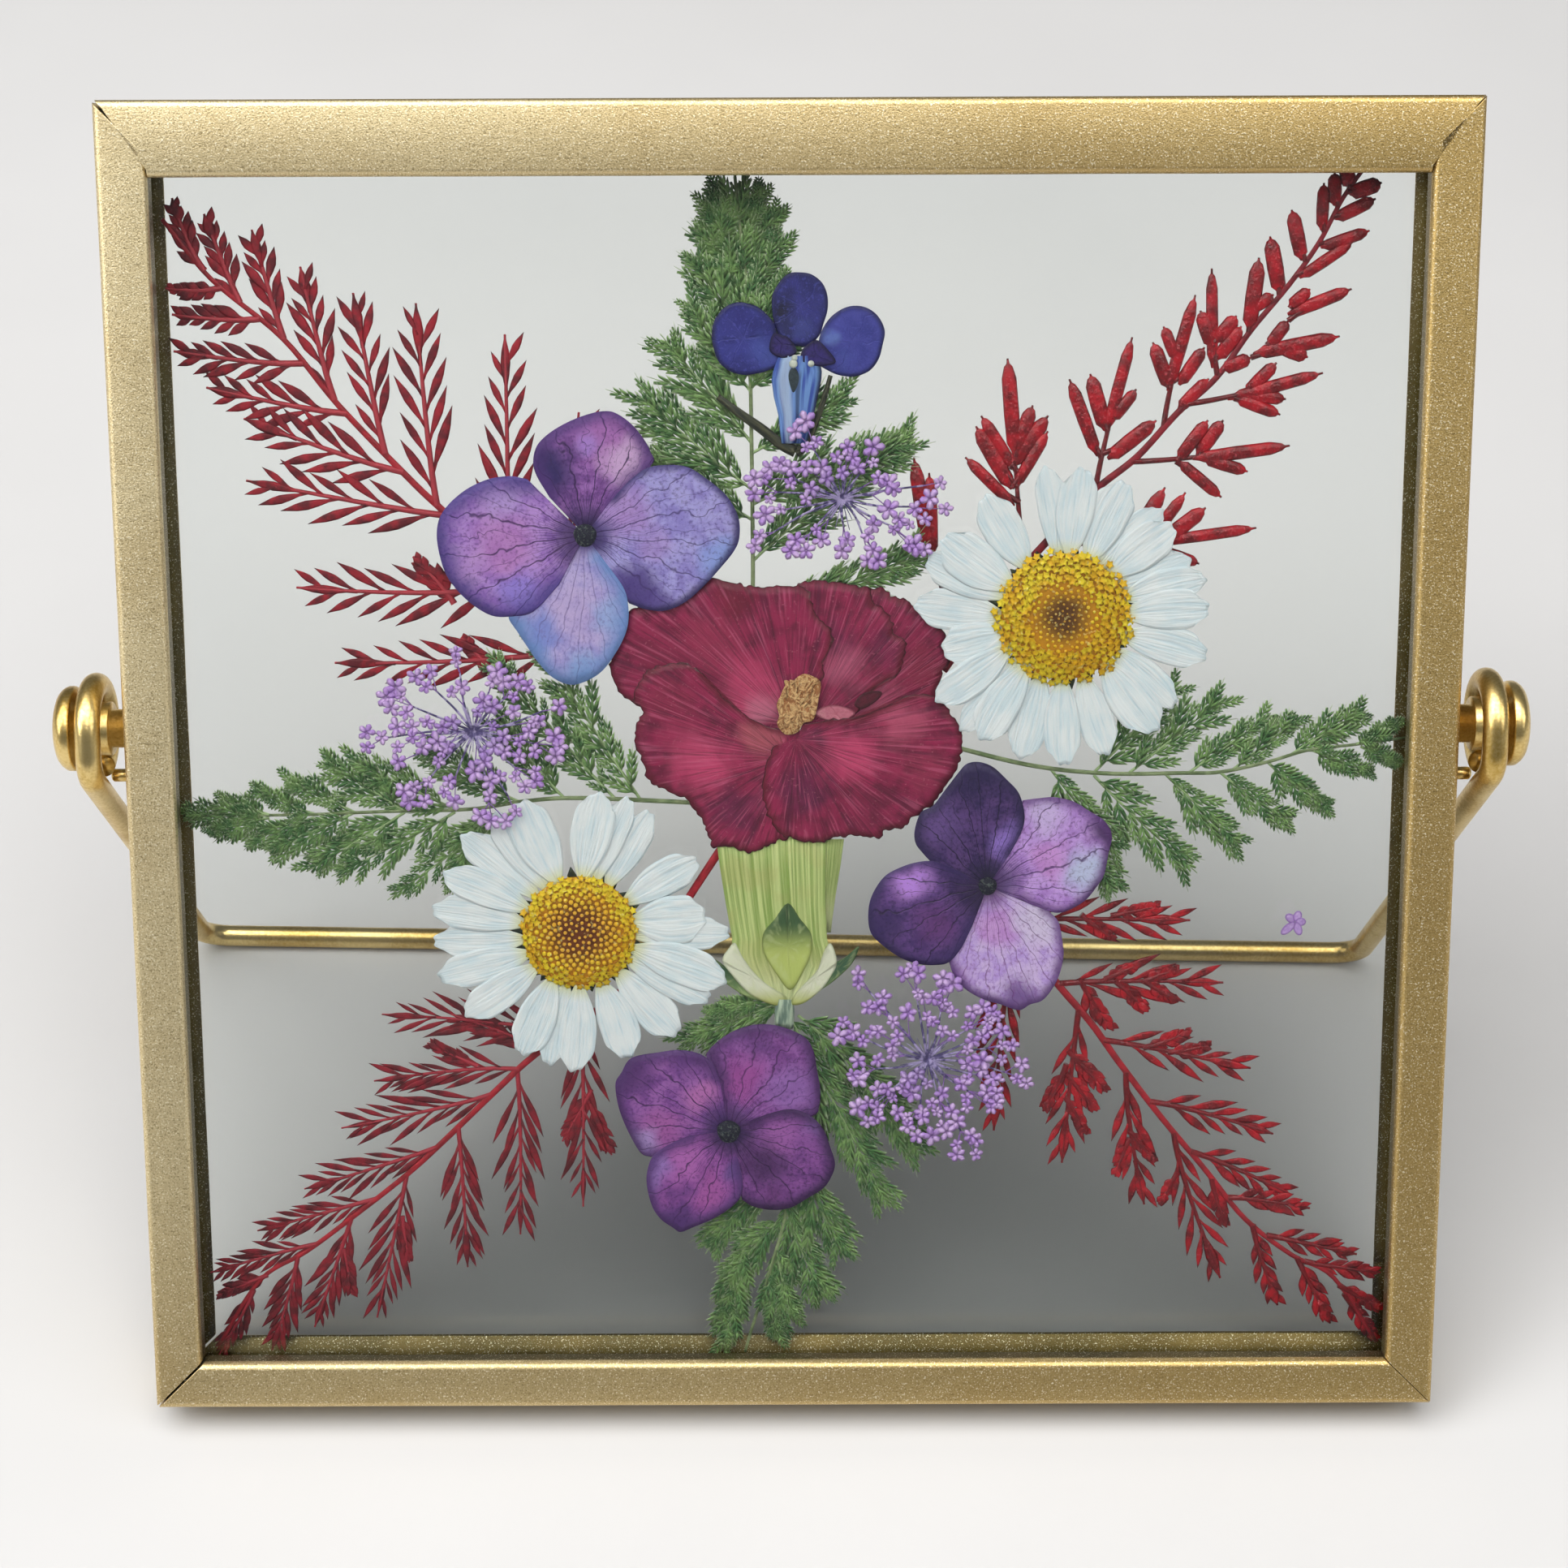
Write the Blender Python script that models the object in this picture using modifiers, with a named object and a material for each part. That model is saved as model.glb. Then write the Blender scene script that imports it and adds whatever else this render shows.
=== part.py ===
"""A pressed flower frame: flowers and ferns held between two glass panes in a brass channel
frame, which leans back on a hinged wire stand.

Lengths are written in millimetres and turned into metres where a shape is made. The frame is
built upright, with its front face in the plane y = 0 and its middle at the origin, under an
empty that leans it back. A point of the frame is (x, depth, height); a point of a plant is
(x, height) on the glass."""
import math

import bmesh
import bpy
from mathutils import Matrix, Vector
from mathutils.geometry import delaunay_2d_cdt

MM = 0.001
GAP = 0.3                    # left between pieces that touch

# The brass frame
FRAME_SIDE = 130.0
FRAME_DEPTH = 8.5
SHEET = 0.6                  # thickness of the brass sheet
BEND_RADIUS = 0.7            # outer radius of the sheet's bends
BEND_STEPS = 2
LIP = 4.8                    # width of the side and bottom bars, seen from the front
TOP_LIP = 7.1                # the top bar is wider
FRONT_RETURN = 2.5           # depth to which the front lip is turned in
MITRE_GAP = 0.3              # between two rails along their mitre
LEAN = math.radians(32)      # back from upright

# The glass
PANE_SIDE = 126.8
PANE_THICKNESS = 1.0
FRONT_PANE_DEPTH = 2.8       # from the frame's front to each pane's front face
BACK_PANE_DEPTH = 6.5
PANE_EDGE = 0.12

# The hinge and the wire stand
PIVOT_HEIGHT = 4.8           # above the frame's middle
PIVOT_DEPTH = 4.25
WIRE_RADIUS = 1.25
EYE_RADIUS = 4.25            # of the eye's centre line
EYE_X = 68.4                 # the eye's plane, from the frame's middle
EYE_STEPS = 13
ARM_OFFSET = 5.4             # from the pivot's axis to the arm's centre line
FOOT_REACH = 27.1            # of the foot bar behind the pivot
FOOT_SKEW = 1.8              # the left end stands this much further back, the right end nearer
FOOT_HALF_WIDTH = 68.75
FOOT_SHIFT = -1.45           # the bar sits a little to the left
STAND_BEND = 3.2             # radius of the wire's bends
STAND_BEND_STEPS = 5
HEAD_FACE = 7.3              # from the rail's side to the pivot pin's outer face
STOP_RADIUS = 0.65
STOP_LENGTH = 2.6
STOP_DEPTH = 7.3
STOP_GAP = 0.2
TURN_STEPS = 16

# The plants: depth of each layer's front face, and its thickness
RED_LAYER = (6.0, 0.2)
GREEN_LAYER = (5.5, 0.2)
MIDDLE_LAYER = (5.0, 0.2)
FRONT_LAYER = (4.5, 0.2)
UMBEL_LAYER = (4.05, 0.2)
RACHIS_WIDTH = 0.9
STALK_WIDTH = 0.5
MOST_TEETH = 2               # on each side of a fern's leaf
CURVE_STEPS = 2              # points made between two that an outline names

BRASS = (0.62, 0.50, 0.26)


# ---------------------------------------------------------------- scene, materials, meshes

def clear_scene():
    for obj in list(bpy.data.objects):
        bpy.data.objects.remove(obj, do_unlink=True)


def new_collection(name):
    collection = bpy.data.collections.new(name)
    bpy.context.scene.collection.children.link(collection)
    return collection


def material(name, colour, roughness, metallic=0.0, transmission=0.0):
    made = bpy.data.materials.get(name) or bpy.data.materials.new(name)
    made.use_nodes = True
    shader = made.node_tree.nodes["Principled BSDF"]
    shader.inputs["Base Color"].default_value = (*colour, 1.0)
    shader.inputs["Roughness"].default_value = roughness
    shader.inputs["Metallic"].default_value = metallic
    shader.inputs["Transmission Weight"].default_value = transmission
    return made


def brass():
    return material("brass", BRASS, 0.35, metallic=1.0)


def add_object(name, data, parent, finish):
    obj = bpy.data.objects.new(name, data)
    PARTS.objects.link(obj)
    obj.parent = parent
    obj.data.materials.append(finish)
    return obj


def add_cutter(name, data, parent):
    obj = bpy.data.objects.new(name, data)
    CUTTERS.objects.link(obj)
    obj.parent = parent
    obj.hide_render = True
    obj.display_type = "WIRE"
    return obj


def add_empty(name, location, rotation=(0.0, 0.0, 0.0)):
    empty = bpy.data.objects.new(name, None)
    PARTS.objects.link(empty)
    empty.location = location
    empty.rotation_euler = rotation
    return empty


def mesh_from(name, build):
    """A mesh made by a function that fills a bmesh."""
    bm = bmesh.new()
    build(bm)
    mesh = bpy.data.meshes.new(name)
    bm.to_mesh(mesh)
    bm.free()
    return mesh


def solidify(obj, thickness, bent=False):
    """Give an open surface its thickness, away from the side that its normals point to. A bent
    sheet is kept as thick round its bends."""
    wall = obj.modifiers.new("thickness", "SOLIDIFY")
    wall.thickness = thickness * MM
    wall.offset = -1.0
    wall.use_even_offset = bent


def boolean(obj, operand, operation):
    cut = obj.modifiers.new(operand.name, "BOOLEAN")
    cut.operation = operation
    cut.solver = "EXACT"
    cut.object = operand


def rounded_path(corners, radius, steps):
    """The corners of an open path, with each inner one replaced by an arc."""
    points = [Vector(corners[0])]
    for before, corner, after in zip(corners, corners[1:], corners[2:]):
        corner = Vector(corner)
        back = (Vector(before) - corner).normalized()
        ahead = (Vector(after) - corner).normalized()
        half = back.angle(ahead) / 2
        middle = corner + (back + ahead).normalized() * radius / math.sin(half)
        start = corner + back * radius / math.tan(half)
        end = corner + ahead * radius / math.tan(half)
        spokes = (start - middle, end - middle)
        sweep = spokes[0].angle(spokes[1])
        for step in range(steps + 1):
            turn = sweep * step / steps
            spoke = (spokes[0] * math.sin(sweep - turn) + spokes[1] * math.sin(turn)) / math.sin(sweep)
            points.append(middle + spoke)
    points.append(Vector(corners[-1]))
    return points


def turned(name, profile, steps=TURN_STEPS):
    """A mesh of a turned shape's profile, (radius, height) down its outer side."""
    def build(bm):
        ring = [bm.verts.new((radius * MM, 0.0, height * MM)) for radius, height in profile]
        for upper, lower in zip(ring, ring[1:]):
            bm.edges.new((upper, lower))
    return mesh_from(name, build)


def screw(obj, steps=TURN_STEPS):
    turn = obj.modifiers.new("turn", "SCREW")
    turn.steps = steps
    turn.render_steps = steps
    turn.use_merge_vertices = True
    turn.merge_threshold = 0.00002


# ---------------------------------------------------------------- frame rails and glass

def channel_surface(bm, lip):
    """The outer face of a rail's bent sheet: front return, front lip, side, back lip. The rail
    runs along x; its side lies on the plane z = -FRAME_SIDE / 2."""
    half = FRAME_SIDE / 2
    section = [(0, FRONT_RETURN, lip - half), (0, 0, lip - half), (0, 0, -half),
               (0, FRAME_DEPTH, -half), (0, FRAME_DEPTH, LIP - half)]
    points = rounded_path(section, BEND_RADIUS, BEND_STEPS)
    ends = [[bm.verts.new(Vector((x, point.y, point.z)) * MM) for point in points]
            for x in (-half, half)]
    for row in range(len(points) - 1):
        bm.faces.new((ends[0][row], ends[0][row + 1], ends[1][row + 1], ends[1][row]))


def mitre_prism(bm, lip):
    """The space that a rail may fill: both mitres, and straight ends past the side bars' lips
    where the lip is wider than theirs."""
    half = FRAME_SIDE / 2
    room = MITRE_GAP / math.sqrt(2)
    outline = [(half + 1 - room, -half - 1)]
    if lip > LIP:
        straight = half - LIP - GAP
        outline += [(straight, -straight - room), (straight, lip + 1 - half)]
    else:
        outline += [(half - lip - 1 - room, lip + 1 - half)]
    outline += [(-x, z) for x, z in reversed(outline)]
    front = [bm.verts.new((x * MM, -MM, z * MM)) for x, z in outline]
    face = bm.faces.new(front)
    grown = bmesh.ops.extrude_face_region(bm, geom=[face])["geom"]
    moved = [item for item in grown if isinstance(item, bmesh.types.BMVert)]
    bmesh.ops.translate(bm, verts=moved, vec=(0.0, (FRAME_DEPTH + 2) * MM, 0.0))
    bmesh.ops.recalc_face_normals(bm, faces=bm.faces)


def rail(name, turn_degrees, lip, parent):
    mesh = mesh_from(name, lambda bm: channel_surface(bm, lip))
    obj = add_object(name, mesh, parent, brass())
    obj.rotation_euler = (0.0, math.radians(turn_degrees), 0.0)
    solidify(obj, SHEET, bent=True)
    cutter = add_cutter(name + "_mitres", mesh_from(name, lambda bm: mitre_prism(bm, lip)), parent)
    cutter.rotation_euler = obj.rotation_euler
    boolean(obj, cutter, "INTERSECT")


def pane(name, depth, parent):
    def build(bm):
        bmesh.ops.create_cube(bm, size=1.0)
        bmesh.ops.scale(bm, vec=Vector((PANE_SIDE, PANE_THICKNESS, PANE_SIDE)) * MM, verts=bm.verts)
    glass = material("glass", (0.95, 0.97, 0.96), 0.02, transmission=1.0)
    obj = add_object(name, mesh_from(name, build), parent, glass)
    obj.location = (0.0, (depth + PANE_THICKNESS / 2) * MM, 0.0)
    edge = obj.modifiers.new("ground edge", "BEVEL")
    edge.width = PANE_EDGE * MM
    edge.segments = 1


# ---------------------------------------------------------------- hinge and stand

def arm_geometry(reach, drop):
    """In the plane across the pivot's axis: the arm's direction, and the direction in which its
    centre line is offset from the axis."""
    distance = math.hypot(reach, drop)
    along = math.atan2(drop, reach) + math.asin(ARM_OFFSET / distance)
    return along, along - math.pi / 2


def foot(side):
    """An end of the foot bar's centre line, from the pivot's axis, in the leaning frame's world."""
    x = FOOT_SHIFT + side * FOOT_HALF_WIDTH
    return Vector((x, FOOT_REACH - side * FOOT_SKEW, WIRE_RADIUS - pivot_world().z / MM))


def eye_points(side):
    """The eye, from the wire's end round to the front, and the corner where the wire turns into
    the arm. The end stops GAP short of the arm."""
    end = foot(side)
    along, normal = arm_geometry(end.y, end.z)
    clearance = (ARM_OFFSET - WIRE_RADIUS - GAP) / (EYE_RADIUS + WIRE_RADIUS)
    start = normal + math.acos(clearance)
    front = math.pi - LEAN
    ring = []
    for step in range(EYE_STEPS + 1):
        angle = start + (front - start) * step / EYE_STEPS
        ring.append(Vector((side * EYE_X, EYE_RADIUS * math.cos(angle), EYE_RADIUS * math.sin(angle))))
    lines = Matrix(((math.cos(front), math.sin(front)), (math.cos(normal), math.sin(normal))))
    corner = lines.inverted() @ Vector((EYE_RADIUS, ARM_OFFSET))
    return ring, Vector((side * EYE_X, corner.x, corner.y))


def stand(parent):
    """One bent wire: eye, arm, foot bar, arm, eye."""
    left_ring, left_corner = eye_points(-1)
    right_ring, right_corner = eye_points(1)
    corners = [left_ring[-1], left_corner, foot(-1), foot(1), right_corner, right_ring[-1]]
    route = rounded_path(corners, STAND_BEND, STAND_BEND_STEPS)
    points = left_ring[:-1] + route + right_ring[-2::-1]
    wire = bpy.data.curves.new("stand", "CURVE")
    wire.dimensions = "3D"
    wire.bevel_depth = WIRE_RADIUS * MM
    wire.bevel_resolution = 2
    wire.use_fill_caps = True
    spline = wire.splines.new("POLY")
    spline.points.add(len(points) - 1)
    for knot, point in zip(spline.points, points):
        knot.co = (*(point * MM), 1.0)
    add_object("stand", wire, parent, brass())


def pivot_pin(name, side, parent):
    """A rivet: a post from the rail, a hub that the eye turns on, and a rounded head."""
    profile = [(0, HEAD_FACE), (2.9, HEAD_FACE - 0.2), (3.9, HEAD_FACE - 0.7), (4.2, HEAD_FACE - 1.3),
               (4.2, 5.3), (2.65, 4.95), (2.65, 1.8), (1.9, 1.8), (1.9, GAP), (0, GAP)]
    obj = add_object(name, turned(name, profile), parent, brass())
    obj.location = Vector((side * FRAME_SIDE / 2, PIVOT_DEPTH, PIVOT_HEIGHT)) * MM
    obj.rotation_euler = (0.0, side * math.pi / 2, 0.0)
    screw(obj)


def stop_pin(name, side, parent):
    """The short pin above the arm that stops the stand when it is open."""
    end = foot(side)
    normal = arm_geometry(end.y, end.z)[1] + LEAN
    across = ARM_OFFSET - WIRE_RADIUS - STOP_RADIUS - STOP_GAP
    back = STOP_DEPTH - PIVOT_DEPTH
    up = (across - back * math.cos(normal)) / math.sin(normal)
    profile = [(0, STOP_LENGTH + GAP), (0.45, STOP_LENGTH + GAP), (STOP_RADIUS, STOP_LENGTH),
               (STOP_RADIUS, GAP), (0, GAP)]
    obj = add_object(name, turned(name, profile), parent, brass())
    obj.location = Vector((side * FRAME_SIDE / 2, STOP_DEPTH, PIVOT_HEIGHT + up)) * MM
    obj.rotation_euler = (0.0, side * math.pi / 2, 0.0)
    screw(obj, 12)


# ---------------------------------------------------------------- flat plant shapes

def smooth_outline(points, steps=CURVE_STEPS):
    """A closed outline through the points, as a Catmull-Rom curve."""
    made = []
    count = len(points)
    for index in range(count):
        a, b, c, d = (Vector(points[(index + shift) % count]) for shift in (-1, 0, 1, 2))
        for step in range(steps):
            t = step / steps
            made.append(0.5 * (2 * b + (c - a) * t + (2 * a - 5 * b + 4 * c - d) * t ** 2
                               + (3 * b - a - 3 * c + d) * t ** 3))
    return made


def ribbon(points, start_width, end_width):
    """The outline of a stalk that tapers along a path."""
    points = [Vector(point) for point in points]
    left, right = [], []
    for index, point in enumerate(points):
        before = points[max(index - 1, 0)]
        after = points[min(index + 1, len(points) - 1)]
        along = (after - before).normalized()
        share = index / (len(points) - 1)
        across = Vector((-along.y, along.x)) * (start_width + (end_width - start_width) * share) / 2
        left.append(point + across)
        right.append(point - across)
    return left + right[::-1]


def toothed_leaf(base, tip, half_width, teeth):
    """A leaf whose sides are cut into teeth that point forward; a plain lance without teeth."""
    along = tip - base
    across = Vector((-along.y, along.x)).normalized()
    side = [(0.0, STALK_WIDTH / 2)]
    for tooth in range(teeth):
        place = 0.8 * tooth / teeth
        width = half_width * (1 - 0.5 * tooth / teeth)
        if tooth:
            side.append((place + 0.04, 0.3 * width))
        side.append((place + 0.9 / (teeth + 1), width))
    if not teeth:
        side.append((0.45, half_width))
    left = [base + along * place + across * width for place, width in side]
    right = [base + along * place - across * width for place, width in side]
    return left + [tip] + right[::-1]


def nearest_on(paths, point):
    """The point of the given paths that lies nearest to a point."""
    best = None
    for path in paths:
        for start, end in zip(path, path[1:]):
            edge = end - start
            share = max(0.0, min(1.0, (point - start).dot(edge) / edge.length_squared))
            place = start + edge * share
            if best is None or (place - point).length < (best - point).length:
                best = place
    return best


def frond(rachis, leaves, half_width, leaf_length):
    """The outlines of a frond: its rachis, and its leaves, (base x, base y, tip x, tip y). Each
    leaf's stalk runs to the nearest leaf or stalk before it. A leaf has a pair of teeth for
    every leaf_length."""
    outlines = [ribbon(rachis, RACHIS_WIDTH, STALK_WIDTH)]
    paths = [[Vector(point) for point in rachis]]
    for base_x, base_y, tip_x, tip_y in leaves:
        base, tip = Vector((base_x, base_y)), Vector((tip_x, tip_y))
        teeth = min(MOST_TEETH, int((tip - base).length / leaf_length))
        width = half_width if teeth else half_width * 0.4
        root = nearest_on(paths, base)
        outlines.append(toothed_leaf(base, tip, width, teeth))
        if (root - base).length > 0.1:
            into_leaf = base + (tip - base).normalized() * STALK_WIDTH
            outlines.append(ribbon([root, base, into_leaf], STALK_WIDTH, STALK_WIDTH))
            paths.append([root, base])
        paths.append([base, tip])
    return outlines


def drop_pinches(bm):
    """Take away the faces at a point where two parts of a shape touch by a corner alone."""
    pinched = True
    while pinched:
        pinched = [v for v in bm.verts if sum(edge.is_boundary for edge in v.link_edges) > 2]
        if pinched:
            smallest = min(pinched[0].link_faces, key=lambda face: face.calc_area())
            bmesh.ops.delete(bm, geom=[smallest], context="FACES")


def keep_largest(bm):
    """Keep only the largest connected part of a flat shape."""
    left = set(bm.faces)
    parts = []
    while left:
        queue = [left.pop()]
        part = list(queue)
        while queue:
            for edge in queue.pop().edges:
                for face in edge.link_faces:
                    if face in left:
                        left.remove(face)
                        queue.append(face)
                        part.append(face)
        parts.append(part)
    parts.sort(key=lambda part: sum(face.calc_area() for face in part))
    for part in parts[:-1]:
        bmesh.ops.delete(bm, geom=part, context="FACES")


def covers(outline, point):
    """Whether an outline goes round a point."""
    winding = 0
    for start, end in zip(outline, outline[1:] + outline[:1]):
        if (start.y <= point.y) != (end.y <= point.y):
            side = (end - start).cross(point - start)
            if (side > 0) == (end.y > start.y):
                winding += 1 if side > 0 else -1
    return winding != 0


def flat_union(bm, outlines):
    """Fill a bmesh with the area that any of the outlines covers, facing the front."""
    outlines = [[Vector(point) for point in outline] for outline in outlines]
    corners, edges = [], []
    for outline in outlines:
        first, count = len(corners), len(outline)
        edges += [(first + step, first + (step + 1) % count) for step in range(count)]
        corners += outline
    places, _, faces = delaunay_2d_cdt(corners, edges, [], 0, 0.01, False)[:3]
    made = [bm.verts.new((place.x * MM, 0.0, place.y * MM)) for place in places]
    for face in faces:
        middle = sum((places[index] for index in face), Vector((0.0, 0.0))) / 3
        if any(covers(outline, middle) for outline in outlines):
            bm.faces.new([made[index] for index in face])
    drop_pinches(bm)
    keep_largest(bm)
    bmesh.ops.delete(bm, geom=[v for v in bm.verts if not v.link_faces], context="VERTS")
    bmesh.ops.recalc_face_normals(bm, faces=bm.faces)
    if sum(face.normal.y for face in bm.faces) > 0:
        bmesh.ops.reverse_faces(bm, faces=bm.faces)
    bmesh.ops.dissolve_limit(bm, angle_limit=0.01, verts=bm.verts, edges=bm.edges)
    bmesh.ops.triangulate(bm, faces=bm.faces)


def pressed(name, outlines, layer, finish, parent, centre=(0.0, 0.0)):
    """One pressed plant as a thin slab of its outline."""
    mesh = mesh_from(name, lambda bm: flat_union(bm, outlines))
    obj = add_object(name, mesh, parent, finish)
    depth, thickness = layer
    obj.location = Vector((centre[0], depth, centre[1])) * MM
    solidify(obj, thickness)
    return obj


def raise_dome(obj, radius, height, parent):
    """Join a low dome to the front of a pressed flower's middle."""
    bury = 0.1
    profile = [(0, height), (radius * 0.5, height * 0.9), (radius * 0.85, height * 0.6),
               (radius, 0), (radius * 0.96, -bury), (0, -bury)]
    dome = add_cutter(obj.name + "_dome", turned(obj.name, profile), parent)
    dome.location = obj.location
    dome.rotation_euler = (math.pi / 2, 0.0, 0.0)
    screw(dome)
    boolean(obj, dome, "UNION")


# ---------------------------------------------------------------- the ferns

RED_WIDTH = 2.1
RED_LEAF = 5.0
UPPER_LEFT_FERN = dict(
    rachis=[(-17, 5), (-21.9, 10.9), (-26.5, 17), (-32.6, 24.6), (-36.7, 28.7), (-43.7, 36.2),
            (-48.9, 42.7), (-55.6, 48.4), (-60, 54)],
    leaves=[(-28, 18.5, -27.5, 43), (-23, 12, -20.5, 35.5), (-34.5, 26.5, -36, 46),
            (-39.5, 31.5, -42, 47), (-44.5, 36.5, -47, 49.5), (-49, 42.5, -51.5, 53),
            (-53, 46, -56, 54.5), (-57, 48.5, -59, 56), (-26, 9.5, -45, 11), (-30, 16.5, -48.5, 18.5),
            (-33, 17, -37, 21.5), (-34.5, 24.5, -53, 29), (-38, 29.5, -53, 35), (-43.5, 35, -56.5, 38),
            (-48, 39.5, -59.5, 41.5), (-52, 43.5, -59.5, 45)])
UPPER_RIGHT_FERN = dict(
    rachis=[(15, 10), (19.8, 16.8), (24.9, 22.6), (29.5, 27.6), (33.7, 31), (37.5, 35.2),
            (41.2, 38.6), (44.4, 43.1), (48, 47.5), (50.7, 51.4), (52.8, 55.5), (55.2, 59)],
    leaves=[(14, 15, 12, 31), (14, 21, 13.5, 29.5), (23, 20, 21, 40.5), (21.5, 29.5, 18.5, 35),
            (21.5, 28, 18, 34), (21.5, 26.5, 17, 31), (21.5, 31, 23.5, 36), (21.5, 30, 25, 35),
            (21.5, 28, 25, 33.5), (29.5, 28, 33, 42.5), (30, 31, 27, 38.5), (30.5, 33.5, 29, 39),
            (31.5, 31, 35.5, 34.5), (36, 34, 39, 46.5), (41, 39, 40.5, 49), (44, 43, 45, 50),
            (47, 46.5, 46, 52), (28, 20, 45.5, 24), (36, 22.5, 40.5, 26), (34, 21.5, 38.5, 27.5),
            (32.5, 21.5, 36.5, 28), (33.5, 30, 48.5, 32), (37.5, 30.5, 42, 27), (39, 35.5, 51.5, 39),
            (44.5, 41.5, 53, 42.5), (47.5, 45, 54, 47), (49, 48, 54, 51.5)])
LOWER_LEFT_FERN = dict(
    rachis=[(-13, -19), (-17.6, -22.9), (-26, -29.2), (-30.2, -33.1), (-35.5, -38.3), (-39.5, -42),
            (-45, -46.4), (-50, -50.2), (-54.9, -53.3), (-59.5, -60.5)],
    leaves=[(-24, -26, -41.5, -25), (-26, -28, -34.5, -25), (-28.5, -30, -42.5, -32),
            (-32, -30, -37, -28), (-30, -34, -46, -37), (-36, -39.5, -50, -43.5), (-42.5, -45, -55, -48),
            (-49, -49.5, -60, -52.5), (-54, -53, -59.5, -55), (-20, -27.5, -21.5, -45.5),
            (-20.5, -33, -23.5, -38.5), (-20.5, -34.5, -18.5, -40), (-27.5, -32, -28, -48.5),
            (-33.5, -37.5, -33.5, -52), (-39, -42.5, -43, -57.5), (-40, -46.5, -39.5, -51.5),
            (-45, -47, -49.5, -58.5), (-46, -50, -45.5, -55), (-50.5, -51.5, -54, -61),
            (-55.5, -54.5, -59, -61.5)])
LOWER_RIGHT_FERN = dict(
    rachis=[(16, -9), (21.4, -14.7), (26.5, -21.7), (30.1, -26), (33.2, -30.4), (37.5, -36.1),
            (42.1, -41.7), (46.4, -47.1), (51.3, -51), (55.7, -53.5), (60.3, -60.5)],
    leaves=[(23, -14.5, 40, -15.5), (32, -15, 37, -14), (27.5, -21.5, 43.5, -22), (32.5, -22, 36, -25),
            (29, -22.5, 32.5, -27), (31.5, -28, 46.5, -31), (35.5, -29, 40.5, -27), (37, -34, 49, -38),
            (41, -39.5, 51, -44.5), (45, -44.5, 53, -46), (49, -48.5, 58, -51), (52.5, -52, 60.5, -53),
            (56, -54.5, 61, -57), (22, -17, 20.5, -37.5), (28, -25.5, 27.5, -41),
            (28, -30.5, 25.5, -35.5), (28, -31.5, 31, -35.5), (33, -32, 36, -45.5),
            (38, -38.5, 44, -53.5), (42.5, -43, 44.5, -48), (47, -48, 50, -56.5),
            (51.5, -52, 55.5, -58.5), (56.5, -55.5, 60.5, -61)])

GREEN_WIDTH = 3.0
GREEN_LEAF = 4.5
TOP_GREEN_FERN = dict(
    rachis=[(-3.8, 10), (-3.8, 15.7), (-3.7, 21.1), (-3.8, 35.7), (-4, 46.1), (-4.6, 51.9), (-5.3, 59)],
    leaves=[(-4.5, 25, -14.5, 31.5), (-4.5, 28, -15, 37.5), (-4, 32.5, -12.5, 43),
            (-4, 37.5, -10, 46.5), (-4, 41.5, -9.5, 51), (-4.5, 45, -8.5, 54), (-5, 48.5, -8, 56.5),
            (-3.5, 15.5, 14, 22), (-4, 21, 12.5, 33.5), (-4, 31.5, 6, 37.5), (-4, 37.5, 1.5, 44),
            (-4, 41.5, 0, 48.5), (-4.5, 44.5, -0.5, 52.5), (-5, 48.5, -1, 55), (-5, 51.5, -2.5, 57)])
LEFT_GREEN_FERN = dict(
    rachis=[(-8, -3.2), (-20.8, -2.6), (-26.5, -2.9), (-32.1, -3.7), (-40.6, -3.9), (-49.1, -4.2),
            (-60.5, -4.2)],
    leaves=[(-15, -3, -26.5, 15.5), (-17.5, -3, -30, 12.5), (-22.5, -3, -29.5, 6),
            (-27, -3.5, -36.5, 3), (-33.5, -4, -44, 1.5), (-40, -4, -48.5, -0.5),
            (-47.5, -4.5, -54.5, -2),
            (-27, -3.5, -40.5, -13), (-30.5, -3.5, -34, -12.5), (-33.5, -4, -46, -10.5),
            (-38.5, -4, -50, -9.5), (-43.5, -4.5, -52.5, -8), (-49, -4.5, -57.5, -6.5)])
RIGHT_GREEN_FERN = dict(
    rachis=[(14, 3), (23.4, 0.6), (31, -0.3), (38.5, -0.3), (42.6, -0.2), (47.2, 0.8), (51.3, 2),
            (55.7, 2.5), (60.8, 3.2)],
    leaves=[(30, -0.5, 38.5, 9), (33.5, -0.5, 43, 7.5), (39.5, -0.5, 47.5, 5.5), (44, -0.5, 50.5, 5.5),
            (49.5, 1.5, 57, 6), (56, 2, 60, 5),
            (24, -0.5, 32.5, -13), (30, -1, 40.5, -10.5), (37, -1, 45, -8), (42.5, -0.5, 50, -5.5),
            (47.5, -0.5, 54, -4), (51.5, 1.5, 58, -0.5)])
BOTTOM_GREEN_FERN = dict(
    rachis=[(-0.4, -20), (-0.4, -37.5), (-0.7, -45.6), (-2, -51), (-4.4, -59), (-5, -61.2)],
    leaves=[(0, -25, 10, -46), (0, -24.5, 13.5, -40.5), (-1, -23.5, -11.5, -28),
            (-1, -38, 5.5, -51.5), (-2.5, -44, 3.5, -56), (-2.5, -49.5, 0, -58),
            (-1.5, -41.5, -9, -50.5), (-2, -46, -7, -54.5), (-3, -50, -7.5, -58)])


# ---------------------------------------------------------------- the flowers

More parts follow.
